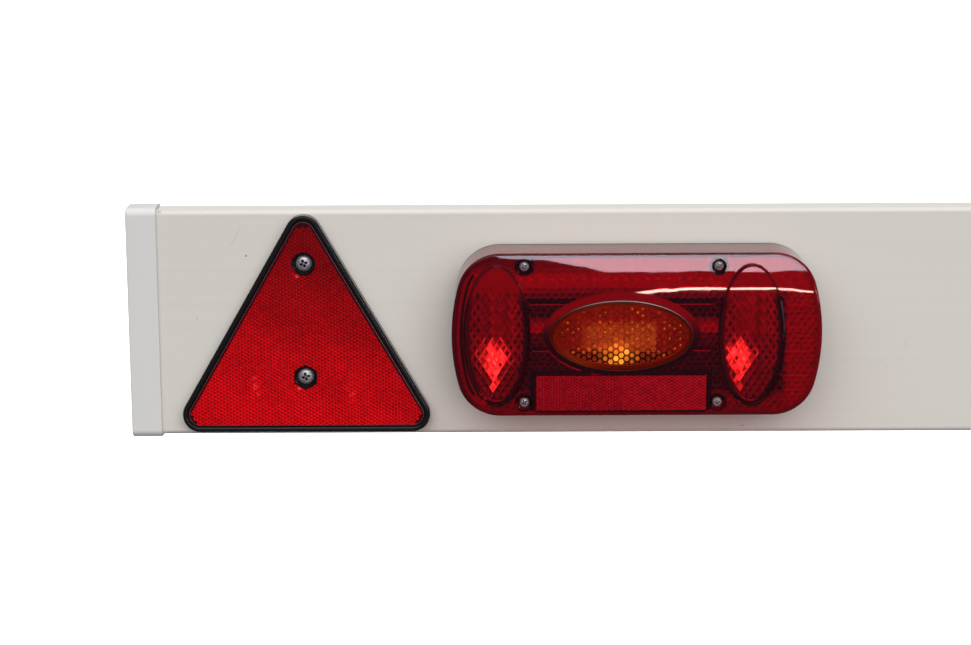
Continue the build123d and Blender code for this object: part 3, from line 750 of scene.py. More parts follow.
def oval_glow(aside, rise):
    """Painted bulb light: a shield pointed below, strong at its heart, further out on outward flanks only."""
    cells = len(aside)
    narrowing = np.clip(1 + rise / GLOW_BELOW, GLOW_NARROWEST, 1)
    shield = np.hypot(aside / (GLOW_HALF_WIDTH * narrowing), np.maximum(rise, 0) / GLOW_ABOVE)
    jitter = rng.uniform(-HEART_JITTER, HEART_JITTER, (cells, 1))
    core = smooth_step(CORE[0] - shield, 0, CORE[1])
    heart = smooth_step(HEART[0] - shield + jitter, 0, HEART[1])
    centre = smooth_step(CENTRE[0] - shield, 0, CENTRE[1])
    outward = np.where(aside < 0, LEFT_FACETS, 1 - LEFT_FACETS)
    flank = INWARD_GLOW + (OUTWARD_GLOW - INWARD_GLOW) * outward
    frame_glow = core * (heart + (1 - heart) * flank) * rng.uniform(*FRAME_SPREAD, (cells, 1))
    tip_glow = heart * rng.uniform(*TIP_SPREAD, (cells, 1))
    glow = np.where(FRAME_FACETS, frame_glow, tip_glow) * rng.uniform(*GLOW_SPREAD, (cells, 8))
    dim = LOW_DIM + (LOW_HEART_DIM - LOW_DIM) * heart
    return glow * (1 - smooth_step(-rise, *FADE_BELOW) * dim) * (GLOW_LEVEL + CENTRE_LEVEL * centre)


print("light of a bulb, mm wide", 2 * GLOW_HALF_WIDTH)

# %% Upright ovals: painted shades of the dish
RHOMBUS_HALF = np.array([2.2, 3.45])
# Painted shades of the dish: where its zones start and end from the oval's middle, and their levels
UPPER_ZONE, SIDE_ZONE, BOTTOM_ZONE = (-6, 4), (6, 13), (14, 20)
UPPER_SHADE, LOWER_SHADE, TIP_SHADE, CHEVRON_SHADE, BAND_SHADE = 0.39, 0.4, 0.08, 0.3, 0.42
SIDE_DIM = 0.8
STREAK_SPREAD, SHADE_SPREAD = (0.7, 1.35), (0.7, 1.3)
CHEVRON = np.array([[0.1, 0.6, 1.0, 0.6] * 2, [0.6, 0.1, 0.6, 1.0] * 2])


def oval_shade(x, z, aside, plain):
    """Painted shade: streaks above the bulb, chevrons below, darker side tips, one tone in the top band."""
    column = np.rint(x / RHOMBUS_HALF[0]).astype(int) + LATTICE_COUNT // 2
    upper = smooth_step(z, *UPPER_ZONE)
    streaks = UPPER_SHADE * rng.uniform(*STREAK_SPREAD, LATTICE_COUNT)[column] * upper
    side = smooth_step(np.abs(x), *SIDE_ZONE)
    bottom = smooth_step(-z, *BOTTOM_ZONE)
    chevron = np.where(aside < 0, CHEVRON[0], CHEVRON[1])
    frame_shade = streaks + LOWER_SHADE * (1 - upper) * (1 - bottom + bottom * chevron)
    tip_low = (TIP_SHADE + CHEVRON_SHADE * bottom * chevron) * (1 - upper)
    shade = np.where(FRAME_FACETS, frame_shade, streaks * (1 - SIDE_DIM * side) + tip_low)
    return shade * (1 - plain) * rng.uniform(*SHADE_SPREAD, (len(x), 8)) + BAND_SHADE * plain


print("shade of the top band", BAND_SHADE)

# %% Upright ovals: the field
PRISM_DEPTH = 1.3
FRAME_SHARE = 0.5
OVAL_RIM = 1.2
OVAL_HALF = OVAL_SIZE / 2 - LENS_WALL - AIR_GAP
BAND_BOTTOM = 26.6
BAND_FADE = 2.0


def oval_prisms(window):
    """Rhombic pyramids over an ellipse, flat in the top band. Each facet has a painted glow and shade."""
    middle = OVAL_MIDDLES[window]
    half = OVAL_HALF - OVAL_RIM
    centres = lattice(RHOMBUS_HALF, half + RHOMBUS_HALF)
    centres = centres[np.linalg.norm(centres / (half + RHOMBUS_HALF * 0.5), axis=1) < 1]
    corners = RHOMBUS_HALF * [[1, 0], [0, 1], [-1, 0], [0, -1]]
    rings = [(1.0, 0.0), (FRAME_SHARE, FRAME_SHARE * PRISM_DEPTH)]
    flat, depth, faces = cell_field(centres, corners, rings, PRISM_DEPTH)
    x, z = centres.T[:, :, None]
    plain = smooth_step(z + middle[1], BAND_BOTTOM - BAND_FADE, BAND_BOTTOM + BAND_FADE)
    points = crowned(hold_in_ellipse(flat + middle, middle, half), depth * (1 - plain), OVAL_FRONT)
    aside, rise = (centres - GLOW_MIDDLES[window]).T[:, :, None]
    glow = oval_glow(aside, rise)
    shade = oval_shade(x, z, aside, plain)
    add_both_sides(f"{window}_oval_prisms", points, faces, red_facets, "lens_red",
                   {"shade": shade.ravel(), "glow": glow.ravel()}, thickness=0.3)


print("oval half size", OVAL_HALF, "cell half size", RHOMBUS_HALF)

# %% [markdown]
# ## Rims: bands between paths
#
# Rims, lips and beads close the edges of the fields. A curve with a bevel could make each of them, but a band
# of faces between two insets of one path can carry a shade for every face. A row of such a band is an inset
# from the path and a depth behind the front. The first rims are the inner walls of the two ovals.

# %% Rims: bands between paths
RIM_STEPS = 120
RIM_TURN = np.arange(RIM_STEPS) * 2 * math.pi / RIM_STEPS


def ellipse_path(middle, half):
    """A function that gives the ellipse's points, drawn in by an inset."""
    return lambda inset: middle + (half - inset) * np.stack([np.cos(RIM_TURN), np.sin(RIM_TURN)], -1)


def on_crown(front):
    """The function that puts flat points, with a depth, on the crown of a given front."""
    return lambda flat, depth: crowned(flat, depth, front)


def per_row(*numbers):
    """One number for each band of a rim, as a column that spreads round it."""
    return np.array(numbers)[:, None]


def rim_band(name, path, rows, place, values, material, slot, thickness=0.3, closed=True):
    """Bands between paths. A row is (inset, depth), and place turns flat points and a depth to solid ones."""
    points = np.concatenate([place(path(inset), depth) for inset, depth in rows])
    bands = len(rows) - 1
    quads = grid_faces(len(rows), len(points) // len(rows), closed)
    spread = {key: np.broadcast_to(numbers, (bands, len(quads) // bands)).ravel()
              for key, numbers in values.items()}
    add_both_sides(name, points, (quads.ravel(), np.full(len(quads), 4)), material, slot, spread,
                   thickness=thickness)


print("points round an oval", RIM_STEPS)

# %% Upright ovals: the rim
OVAL_SKIRT = 4.4
# Rows of the rim from the flange behind the panels to the tuck behind the prisms,
# and the painted shades between them
OVAL_RIM_ROWS = [(-3.0, OVAL_SKIRT), (0, OVAL_SKIRT), (0, 0), (0.5, 0), (OVAL_RIM, 0),
                 (OVAL_RIM + 3.0, PRISM_DEPTH + 0.8)]
OVAL_RIM_DARK = per_row(0.0, 0.0, 0.01, 0.03, 0.05)
OVAL_RIM_LEFT = per_row(0.12, 0.0, 0.05, 0.1, 0.05)
OVAL_RIM_FOOT = per_row(0.0, 0.0, 0.0, 0.6, 0.0)
FOOT_ANGLE = math.radians(258)
FOOT_FADE = (math.cos(0.5), math.cos(0.15))


def oval_rim(window):
    """The oval's inner wall: a flange behind the panels, a skirt, a dark border and a painted bright foot."""
    top = smooth_step(np.sin(RIM_TURN), 0.45, 0.7)
    foot = smooth_step(np.cos(RIM_TURN - FOOT_ANGLE), *FOOT_FADE)
    left = smooth_step(-np.cos(RIM_TURN), 0.3, 0.8)
    dark = OVAL_RIM_DARK + OVAL_RIM_LEFT * left
    shade = dark + (BAND_SHADE - dark) * top + OVAL_RIM_FOOT * foot
    rim_band(f"{window}_oval_rim", ellipse_path(OVAL_MIDDLES[window], OVAL_HALF), OVAL_RIM_ROWS,
             on_crown(OVAL_FRONT), {"shade": shade}, red_facets, "lens_red")


for window in OVAL_MIDDLES:
    oval_prisms(window)
    oval_rim(window)

# %% [markdown]
# ## Between the windows: pillow panels
#
# The rest of the lens is lined with rows of small pillows, staggered like bricks, and their light is painted.
# In the top band they are nearly flat and painted bright red, for the daylight they catch. Round the
# indicator they look at the black base, so they are painted dark with a thin bright outline, and at the
# inboard end a column of blocks is painted lighter again. The field ends at the lens's own outline: straight
# along the top and bottom, an arc at each end and round corners. It leaves holes for the windows and for the
# screws' bosses. A bead painted bright and a groove painted dark follow the outer end, where the panel meets
# the lens's wall. The wall itself, seen end on, is maroon rather than black, because its plastic scatters a
# little light. A thin ring just under its front, painted maroon, stands for that light.

# %% Pillow panels: outline and shade
END_RADIUS = 116.0
CORNER_RADIUS = 26.0
PRISM_COLUMN = -304.4
# Painted shades of the panels. A zone is the heights where it starts and ends, its soft edge and what it adds
PANEL_DARK, PANEL_FOOT, PANEL_COLUMN, PANEL_BAND, PANEL_TOP = 0.015, 0.3, 0.44, 0.5, 0.22
PANEL_ZONES = [(0.5, 8.5, 1.5, 0.5), (-7, 0.5, 1.5, 0.06), (22, 28, 1.0, 0.15)]
FOOT_ZONE, TOP_ZONE = (-38, -34), (36, 40)
MARGIN_ZONE = OVAL_MIDDLES["outer"][0] - np.array([8, 4])


def hold_in_lamp(flat, inset):
    """Draws points back inside the lamp's outline: straight sides first, then end arcs and corners."""
    sign = np.where(flat < LAMP_MIDDLE, -1, 1)
    across, upright = np.moveaxis(np.abs(flat - LAMP_MIDDLE), -1, 0)
    upright = np.minimum(upright, LAMP_HALF[1] - inset)
    arc_middle = LAMP_HALF[0] - END_RADIUS
    reach = np.hypot(across - arc_middle, upright)
    scale = np.minimum(1, (END_RADIUS - inset) / reach)
    across, upright = arc_middle + (across - arc_middle) * scale, upright * scale
    corner_z = LAMP_HALF[1] - CORNER_RADIUS
    corner_x = arc_middle + math.sqrt((END_RADIUS - CORNER_RADIUS) ** 2 - corner_z ** 2)
    far_x, far_z = across - corner_x, upright - corner_z
    in_corner = (far_x > 0) & (far_z > far_x * corner_z / (corner_x - arc_middle))
    reach = np.maximum(np.hypot(far_x, far_z), 1e-9)
    scale = np.where(in_corner, np.minimum(1, (CORNER_RADIUS - inset) / reach), 1)
    held = np.stack([corner_x + far_x * scale, corner_z + far_z * scale], -1)
    return LAMP_MIDDLE + sign * held


def panel_shade(x, z):
    """The painted shade at a place, and how much it lies in the band on top or in the outer margin."""
    foot = 1 - smooth_step(z, *FOOT_ZONE)
    column = smooth_step(x, PRISM_COLUMN - 1, PRISM_COLUMN + 1)
    margin = 1 - smooth_step(x, *MARGIN_ZONE)
    band = np.maximum(smooth_step(z, BAND_BOTTOM - 1, BAND_BOTTOM + 1), margin)
    dark = PANEL_DARK + sum(added * between(z, start, end, edge) for start, end, edge, added in PANEL_ZONES)
    shade = dark * (1 - foot) + PANEL_FOOT * foot
    shade = shade * (1 - column) + PANEL_COLUMN * column
    bright = PANEL_BAND + (PANEL_TOP - PANEL_BAND) * smooth_step(z, *TOP_ZONE)
    return shade * (1 - band) + bright * band, band


print("shade in the band", panel_shade(LAMP_MIDDLE[0], BAND_BOTTOM + BAND_FADE)[0])

# %% Pillow panels: the field
BRICK_HALF = np.array([2.2, 2.0])
BRICK_ROW = 3.0
BRICK_DEPTH = 0.7
BRICK_CORNERS = BRICK_HALF * [[1, 0.5], [0, 1], [-1, 0.5], [-1, -0.5], [0, -1], [1, -0.5]]
BRICK_RINGS = [(1.0, 0.0), (0.8, 0.6 * BRICK_DEPTH)]
# Painted shade of a pillow's faces: a bright outline, and inner faces lighter or darker by their lean
BRICK_OUTLINE = np.array([0.1] * 6 + [0.0] * 6)
BRICK_FACETS = np.array([1.0] * 6 + [0.9, 0.6, 0.6, 0.9, 1.2, 1.2])
BRICK_SPREAD = (0.75, 1.25)
BAND_FLATNESS = 0.85
PANEL_INSET = 2.8
STRIP_GAP = 1.0
# A hole is its middle, its half size, and how far outside of that a pillow's centre has to lie
HOLES = [(INDICATOR_MIDDLE, INDICATOR_COVER, -1.2)]
HOLES += [(middle, OVAL_SIZE / 2 - 0.5, -1.2) for middle in OVAL_MIDDLES.values()]
HOLES += [(screw, np.full(2, BOSS_RADIUS + AIR_GAP), -0.8) for screw in LENS_SCREWS]


def lens_panels():
    """Staggered pillows over the whole lens, left out at the windows, the reflex strip and the bosses."""
    centres = lattice((BRICK_HALF[0], BRICK_ROW), LAMP_HALF) + LAMP_MIDDLE
    keep = np.linalg.norm(hold_in_lamp(centres, PANEL_INSET) - centres, axis=1) < 0.5 * BRICK_HALF[0]
    for middle, half, margin in HOLES:
        keep &= np.linalg.norm((centres - middle) / (half + margin), axis=1) > 1
    x, z = centres.T
    keep &= (x < strip_low[0] - STRIP_GAP) | (x > strip_high[0] + STRIP_GAP) | (z > strip_high[2] + STRIP_GAP)
    centres = centres[keep]
    flat, depth, faces = cell_field(centres, BRICK_CORNERS, BRICK_RINGS, BRICK_DEPTH)
    flat = hold_in_lamp(flat, PANEL_INSET)
    for middle, half, _ in HOLES:
        flat = push_out_of_ellipse(flat, middle, half)
    level, band = [numbers[:, None] for numbers in panel_shade(*centres.T)]
    points = crowned(flat, depth * (1 - BAND_FLATNESS * band), PANEL_FRONT)
    facets = 1 + (BRICK_FACETS - 1) * (1 - band)
    shade = (level * facets + BRICK_OUTLINE * (1 - band)) * rng.uniform(*BRICK_SPREAD, (len(centres), 12))
    add_both_sides("lens_panels", points, faces, red_facets, "lens_red", {"shade": shade.ravel()},
                   thickness=0.3)


lens_panels()

# %% Bead at the outer end, and the ring in the wall
BEAD_ROWS = [(2.9, 0.0), (3.2, -0.12), (4.6, -0.12), (5.2, -0.06), (6.4, -0.06), (6.6, 0.0)]
# Painted shades of the bead's rows: bright on the bead, dark in the groove beside it
BEAD_SHADE = per_row(0.3, 0.4, 0.1, 0.03, 0.1)
BEAD_REACH = 42.0
BEAD_STEPS = 60
WALL_RING_ROWS = [(0.7, 4.0), (0.7, 1.6), (1.3, 0.9), (2.75, 0.7)]
WALL_RING_STEPS = 50
WALL_SHADE, WALL_LIGHT, WALL_FOOT = 0.1, 0.2, 0.7


def end_bead():
    """A bead along the lamp's outer end, with a groove beside it: the end line, drawn in row by row."""
    z = np.linspace(-BEAD_REACH, BEAD_REACH, BEAD_STEPS)
    end_line = LAMP_MIDDLE + np.stack([np.full(BEAD_STEPS, -LAMP_HALF[0]), z], -1)
    rim_band("end_bead", lambda inset: hold_in_lamp(end_line, inset), BEAD_ROWS, on_crown(PANEL_FRONT),
             {"shade": BEAD_SHADE}, red_facets, "lens_red", thickness=0.05, closed=False)


def lamp_path(inset):
    """The lamp's outline, drawn in by an inset: points of its box, side by side, held in by the outline."""
    share = np.linspace(-1, 1, WALL_RING_STEPS, endpoint=False)
    full = np.ones(WALL_RING_STEPS)
    sides_of_box = [(full, share), (-share, full), (-full, -share), (share, -full)]
    box = np.concatenate([np.stack(side, -1) for side in sides_of_box])
    return hold_in_lamp(LAMP_MIDDLE + box * LAMP_HALF, inset)


def wall_ring():
    """A thin ring in the wall's plastic, its painted light stronger at the inboard end and at the foot."""
    across, upright = ((lamp_path(0) - LAMP_MIDDLE) / LAMP_HALF).T
    inboard = smooth_step(across, 0.6, 0.95)
    foot = smooth_step(-upright, 0.8, 0.95)
    shade = WALL_SHADE + WALL_LIGHT * np.maximum(inboard, WALL_FOOT * foot)
    rim_band("wall_ring", lamp_path, WALL_RING_ROWS, on_crown(CROWN_FRONT), {"shade": shade}, red_facets,
             "lens_red", thickness=0.05)


end_bead()
wall_ring()

# %% [markdown]
# ## Ribs and the row of pillows
#
# Four ribs, painted dark, cross the panels beside the indicator, each with a painted bright line under it,
# and painted bright lines part the inboard column into blocks. A frame painted dark runs round the reflex
# strip, open at the bottom. All of them are flat strips with chamfered long sides, so one list of boxes makes
# them in one mesh. A row of single pillows, their tops painted lighter, runs along the top band.

# %% Ribs and the row of pillows
RIB_RISE = 0.12
RIB_EDGE = 0.2
RIB_LINE = 0.55
RIB_LINE_DROP = 1.2
RIB_LINE_SHADE, COLUMN_LINE_SHADE = 0.6, 0.8
# Each strip is x from and to, and z from and to
RIBS = [(-456.4, -432.1, 18.9, 21.5), (-455.0, -444.5, -9.3, -7.4)]
FRAME_BARS = [(-453.9, -409.0), (-405.5, -401.7), (-398.7, -374.5), (-373.0, -349.9)]
STRIP_FRAME = [(-456.4, -453.9, -46.8, -22.0), (-349.9, -347.4, -46.8, -22.0)]
STRIP_FRAME += [(left, right, -24.3, -22.0) for left, right in FRAME_BARS]
COLUMN_LINES = [17.8, 3.4, -11.2, -25.6]
COLUMN_SPAN = (-304.2, -290.4)
PILLOW_ROW_LEVEL = 33.3
PILLOW_ROW_SPAN = (-462.0, -348.0)
PILLOW_ROW_STEP = 6.3
PILLOW_ROW_HALF = np.array([1.9, 1.4])
PILLOW_ROW_RINGS = [(1.0, -0.02), (0.6, -0.6 * RIB_RISE)]
# Painted shades of a pillow's flanks, then of its lighter top
PILLOW_ROW_SHADE = [0.5] * 8 + [0.8] * 8


def lens_ribs():
    """Strips from a list of boxes: x from and to, z from and to, and a shade."""
    bars = [(*rib, 0.0) for rib in RIBS]
    bars += [(left, right, low - RIB_LINE_DROP, low - RIB_LINE_DROP + RIB_LINE, RIB_LINE_SHADE)
             for left, right, low, _ in RIBS]
    mirror = 2 * INDICATOR_MIDDLE[0]
    bars += [(mirror - right, mirror - left, *rest) for left, right, *rest in bars]
    bars += [(*bar, 0.0) for bar in STRIP_FRAME]
    bars += [(*COLUMN_SPAN, level - RIB_LINE / 2, level + RIB_LINE / 2, COLUMN_LINE_SHADE)
             for level in COLUMN_LINES]
    left, right, low, high, shade = np.array(bars).T
    rows = np.stack([low, low + RIB_EDGE, high - RIB_EDGE, high], 1)
    flat = np.stack(np.broadcast_arrays(np.stack([left, right], 1)[:, None, :], rows[:, :, None]), -1)
    depth = per_row(0.0, -RIB_RISE, -RIB_RISE, 0.0)
    faces = repeat_faces([*grid_faces(4, 2)], len(bars), 8)
    add_both_sides("lens_ribs", crowned(flat, depth, PANEL_FRONT), faces, red_facets, "lens_red",
                   {"shade": np.repeat(shade, 3)}, thickness=0.08)


def band_pillows():
    """A row of low eight-sided pillows at an even step along the top band, tops painted lighter."""
    x = np.arange(*PILLOW_ROW_SPAN, PILLOW_ROW_STEP)
    centres = np.stack([x, np.full(len(x), PILLOW_ROW_LEVEL)], 1)
    turn = np.arange(8) * math.pi / 4
    corners = PILLOW_ROW_HALF * np.stack([np.cos(turn), np.sin(turn)], 1)
    flat, depth, faces = cell_field(centres, corners, PILLOW_ROW_RINGS, -RIB_RISE)
    shade = np.tile(PILLOW_ROW_SHADE, len(x)) * rng.uniform(0.9, 1.1, len(x) * len(PILLOW_ROW_SHADE))
    add_both_sides("band_pillows", crowned(flat, depth, PANEL_FRONT), faces, red_facets, "lens_red",
                   {"shade": shade}, thickness=0.08)


lens_ribs()
band_pillows()

# %% [markdown]
# ## Indicator: hexagonal pillows
#
# The amber window is lined with hexagonal pillows, each a little lens. A pillow could be cut from a sphere,
# but at this size a dome of three rings is enough: the hexagon, a ring at three quarters of its width and
# half of its height, and a small one round the top. The bulb lies low behind the middle, and a painted glow
# makes a few pillows there bright yellow. Painted shade and tint give the orange patch of the dish round it,
# painted glints make some of the tops sparkle, and the gaps between the pillows are painted darker.

# %% Indicator pillows: painted light and shade
# The faces of a pillow that take the painted shade of the gaps, and the top faces that take painted glints
PILLOW_GAP = np.array([1.0] * 6 + [0.0] * 12)
PILLOW_TIP = np.array([0.0] * 12 + [1.0] * 6)
# The places and sizes of the painted bulb light and dish patch are from the window's middle
AMBER_BULB = np.array([-1.5, -11.5])
AMBER_BULB_SIZE = np.array([6.0, 4.8])
BULB_REACH, HALO_REACH, HALO_FADE, HALO_LIGHT = 1.45, 2.6, 1.2, 0.16
PATCH_LEFT, PATCH_RIGHT, PATCH_LEVELS, PATCH_EDGE = (-27, -17), (20, 22), (-9.5, 7.5), 2.5
PATCH_STREAK_STEP = 6.4
PATCH_STREAK, PATCH_STREAK_ZONE = 0.22, (3, 8)
LOW_ZONE, END_ZONE = (-11, -7), (22, 36)
SPARKLE_ROWS = (7.2, 4.0)
SPARKLE_CHANCE, SPARKLE_ROW_CHANCE, SPARKLE_LIGHT = 0.35, 0.5, (0.1, 0.75)
AMBER_SHADE, PATCH_SHADE, END_DIM = 0.46, 0.32, 0.12
AMBER_TINT, PATCH_TINT, LOW_TINT = 0.1, 0.75, 0.4
GAP_DIM, LOW_GAP_DIM, GAP_GLOW_DIM = 0.1, 0.87, 0.92
AMBER_GLOW_SPREAD, AMBER_SHADE_SPREAD = (0.2, 1.2), (0.65, 1.35)


def indicator_values(centres):
    """Painted shade, tint and glow per facet: bright by the bulb, orange in a patch, redder at the ends."""
    x, z = centres.T[:, :, None]
    away = np.linalg.norm((centres - AMBER_BULB) / AMBER_BULB_SIZE, axis=1)[:, None]
    patch = smooth_step(x, *PATCH_LEFT) * (1 - smooth_step(x, *PATCH_RIGHT))
    patch = patch * between(z, *PATCH_LEVELS, PATCH_EDGE)
    wave = np.sin(2 * math.pi * x / PATCH_STREAK_STEP)
    streak = 1 + PATCH_STREAK * wave * smooth_step(x, *PATCH_STREAK_ZONE)
    low = 1 - smooth_step(z, *LOW_ZONE)
    near = np.clip(BULB_REACH - away, 0, 1) + HALO_LIGHT * smooth_step(HALO_REACH - away, 0, HALO_FADE)
    # Painted glints on some tops, more often along two rows
    row = np.maximum(*[between(z, level - 1, level + 1, 0.2) for level in SPARKLE_ROWS])
    sparkle = rng.uniform(0, 1, x.shape) < SPARKLE_CHANCE + SPARKLE_ROW_CHANCE * row
    sparkle = sparkle * rng.uniform(*SPARKLE_LIGHT, x.shape)
    glow = near * (1 - GAP_GLOW_DIM * PILLOW_GAP) * rng.uniform(*AMBER_GLOW_SPREAD, x.shape)
    glow = glow + sparkle * PILLOW_TIP
    shade = AMBER_SHADE + PATCH_SHADE * patch * streak - END_DIM * smooth_step(np.abs(x), *END_ZONE)
    shade = shade * (1 - PILLOW_GAP * (GAP_DIM + LOW_GAP_DIM * low))
    shade = shade * rng.uniform(*AMBER_SHADE_SPREAD, shade.shape)
    tint = np.clip(AMBER_TINT + PATCH_TINT * patch + LOW_TINT * low, 0, 1)
    return {"shade": shade.ravel(), "tint": np.repeat(tint, len(PILLOW_GAP)), "glow": glow.ravel()}


print("facets of a pillow", len(PILLOW_GAP))

# %% Indicator pillows: the field
PILLOW_SIZE = np.array([2.13, 2.0])
PILLOW_DEPTH = 0.6
PILLOW_RINGS = [(1.0, 0.0), (0.72, 0.5 * PILLOW_DEPTH), (0.18, 0.95 * PILLOW_DEPTH)]
PILLOW_CORNERS = PILLOW_SIZE * [[1, 0], [0.5, 1], [-0.5, 1], [-1, 0], [-0.5, -1], [0.5, -1]]
INDICATOR_RIM = 1.0


def indicator_pillows():
    """Hexagonal domes over an ellipse."""
    half = INDICATOR_HALF - LENS_WALL - AIR_GAP - INDICATOR_RIM
    centres = lattice(PILLOW_SIZE * [1.5, 1.0], half + PILLOW_SIZE)
    centres = centres[np.linalg.norm(centres / (half + PILLOW_SIZE * 0.5), axis=1) < 1]
    flat, depth, faces = cell_field(centres, PILLOW_CORNERS, PILLOW_RINGS, PILLOW_DEPTH)
    flat = hold_in_ellipse(flat + INDICATOR_MIDDLE, INDICATOR_MIDDLE, half)
    add_both_sides("indicator_pillows", crowned(flat, depth, INDICATOR_FRONT), faces, amber_facets,
                   "lens_amber", indicator_values(centres), thickness=0.3)


indicator_pillows()

# %% [markdown]
# ## Indicator: surround
#
# Three rims finish the amber window. A red ring on the panels covers the gap round it, painted lighter on
# top, with a painted bright line at the lower left. A second rim closes the field of pillows from the side
# and from behind, takes the red of the lens round it, and has a faint painted glow. A thin half-round lip
# runs along the window's front edge, with a painted highlight on its top. Each is a set of bands between
# insets of the same ellipse, so one function makes all three.

# %% Indicator surround
INDICATOR_SKIRT = 6.7
COVER_RISE = 0.17
COVER_ROWS = [(-1.5, 0), (-0.5, -RIB_RISE), (0.1, -COVER_RISE), (2.75, -COVER_RISE)]
COVER_SHADE, COVER_TOP = per_row(0.03, 0.0, 0.01), per_row(0.36, 0.36, 0.38)
INDICATOR_RIM_ROWS = [(-7.0, INDICATOR_SKIRT), (0, INDICATOR_SKIRT), (0, 0), (INDICATOR_RIM, 0.1)]
INDICATOR_RIM_SHADE, INDICATOR_RIM_TOP = per_row(0.36, 0.0, 0.4), per_row(0.0, 0.3, 0.0)
INDICATOR_RIM_GLOW = per_row(0.5, 0.0, 0.1)
WINDOW_LIP_RADIUS = 0.2
WINDOW_LIP_SINK = 0.8 * WINDOW_LIP_RADIUS


def half_round(radius, inset, sink):
    """Rows of a bead: half a circle from its outer foot over its top to its inner foot, sunk by a depth."""
    bow = np.linspace(0, math.pi, 7)
    return np.stack([inset + radius * (1 - np.cos(bow)), sink - radius * np.sin(bow)], 1)


def rim_glow(degrees, width):
    """A bell curve round the rim: 1 at an angle, falling off over a width in radians."""
    turn = RIM_TURN - math.radians(degrees)
    return np.exp(-(np.arctan2(np.sin(turn), np.cos(turn)) / width) ** 2)


def indicator_surround():
    """The cover ring, rim behind the flange and lip, with painted light in bell curves at a few angles."""
    up = smooth_step(np.sin(RIM_TURN), -0.1, 0.6)
    # Painted light on the cover: lighter on top, a bright line at the lower left, a fainter one at the upper
    # right
    line = np.maximum(0.6 * rim_glow(235, 0.55), 0.3 * rim_glow(60, 0.4))
    cover = COVER_SHADE + np.maximum(COVER_TOP * up, per_row(1.0, 0.0, 0.0) * line)
    rim_band("indicator_halo", ellipse_path(INDICATOR_MIDDLE, INDICATOR_COVER), COVER_ROWS,
             on_crown(PANEL_FRONT), {"shade": cover}, red_facets, "lens_red", thickness=0.05)
    # A faint painted glow round the rim, stronger at the lower left and at the top
    glow = 0.02 + 0.07 * rim_glow(228, 0.35) + 0.03 * rim_glow(90, 0.8)
    values = {"shade": INDICATOR_RIM_SHADE + INDICATOR_RIM_TOP * up, "glow": INDICATOR_RIM_GLOW * glow}
    rim_band("indicator_rim", ellipse_path(INDICATOR_MIDDLE, INDICATOR_HALF - LENS_WALL - AIR_GAP),
             INDICATOR_RIM_ROWS, on_crown(INDICATOR_FRONT), values, red_facets, "lens_red")
    # The lip's painted highlight, on top and at the upper right
    lip_highlight_shade = 0.02 + 0.5 * rim_glow(62, 0.5) + 0.3 * rim_glow(105, 0.5)
    rim_band("indicator_lip", ellipse_path(INDICATOR_MIDDLE, INDICATOR_HALF),
             half_round(WINDOW_LIP_RADIUS, 0, WINDOW_LIP_SINK), on_crown(CROWN_FRONT - INDICATOR_RISE),
             {"shade": lip_highlight_shade}, lip_highlight_finish, "lens_amber", thickness=0.1)


indicator_surround()

# %% [markdown]
# ## Triangle: cube-corner pins
#
# A reflex reflector sends light back where it came from with a field of hexagonal pins whose tips are
# corners of cubes. Seen from the front, three faces of each cube meet in the middle of a hexagon, and the
# corners of the hexagon lie high and low in turn. True cube corners mirror light three times over, which is
# slow to trace, so the pins are shallow and each face has its own painted shade. They are painted brighter
# towards the lower left, with a slow drift of tone. Painted glints flash on one or two pins beside each
# screw, and on some in two short streaks. Pins that cross an edge are drawn back to it, and a half-round
# bead, painted pale for its highlight, finishes the plate.

# %% Triangle pins: light and shade
# Painted shade of a pin's six faces, and the share of a flash each takes
PIN_FACETS = np.array([0.3, 0.4, 0.95, 1.2, 1.2, 0.95])
PIN_FLASH = np.array([0.2, 0.2, 0.4, 1.0, 1.0, 0.4])
PIN_SPREAD = (0.85, 1.15)
# Painted flares lie beside each screw, and painted streaks of light beside the lower one
FLARE_PLACE = np.array([-4.5, -6.8])
FLARE_REACH = 1.2
FLARE_SHADE, FLARE_FLASH, STREAK_FLASH, LEAST_FLASH = 0.6, 0.3, 0.12, 0.3
STREAK_PLACES = np.array([[-30.4, -6.0], [28.2, -10.0]])
STREAK_SIZE = np.array([2.8, 8.0])
STREAK_LIGHT = np.array([0.85, 0.6])
PIN_SHADE, PIN_SHADE_GAIN, GAIN_ZONE, GAIN_LEAN = 0.26, 0.58, (-80, 45), 0.2
# The drift of tone is a product of sines, each with its lean and its length
DRIFT, DRIFT_WAVES = 0.12, [(1.4, 11), (-0.6, 17)]

plate_low, plate_high = node_box("left_triangle_lens")
screws_low, screws_high = node_box("left_triangle_screws")
TRIANGLE_SCREW_RADIUS = (screws_high - screws_low)[0] / 2
TRIANGLE_X = (plate_low + plate_high)[0] / 2
TRIANGLE_SCREWS = np.array([[TRIANGLE_X, screws_low[2] + TRIANGLE_SCREW_RADIUS],
                            [TRIANGLE_X, screws_high[2] - TRIANGLE_SCREW_RADIUS]])


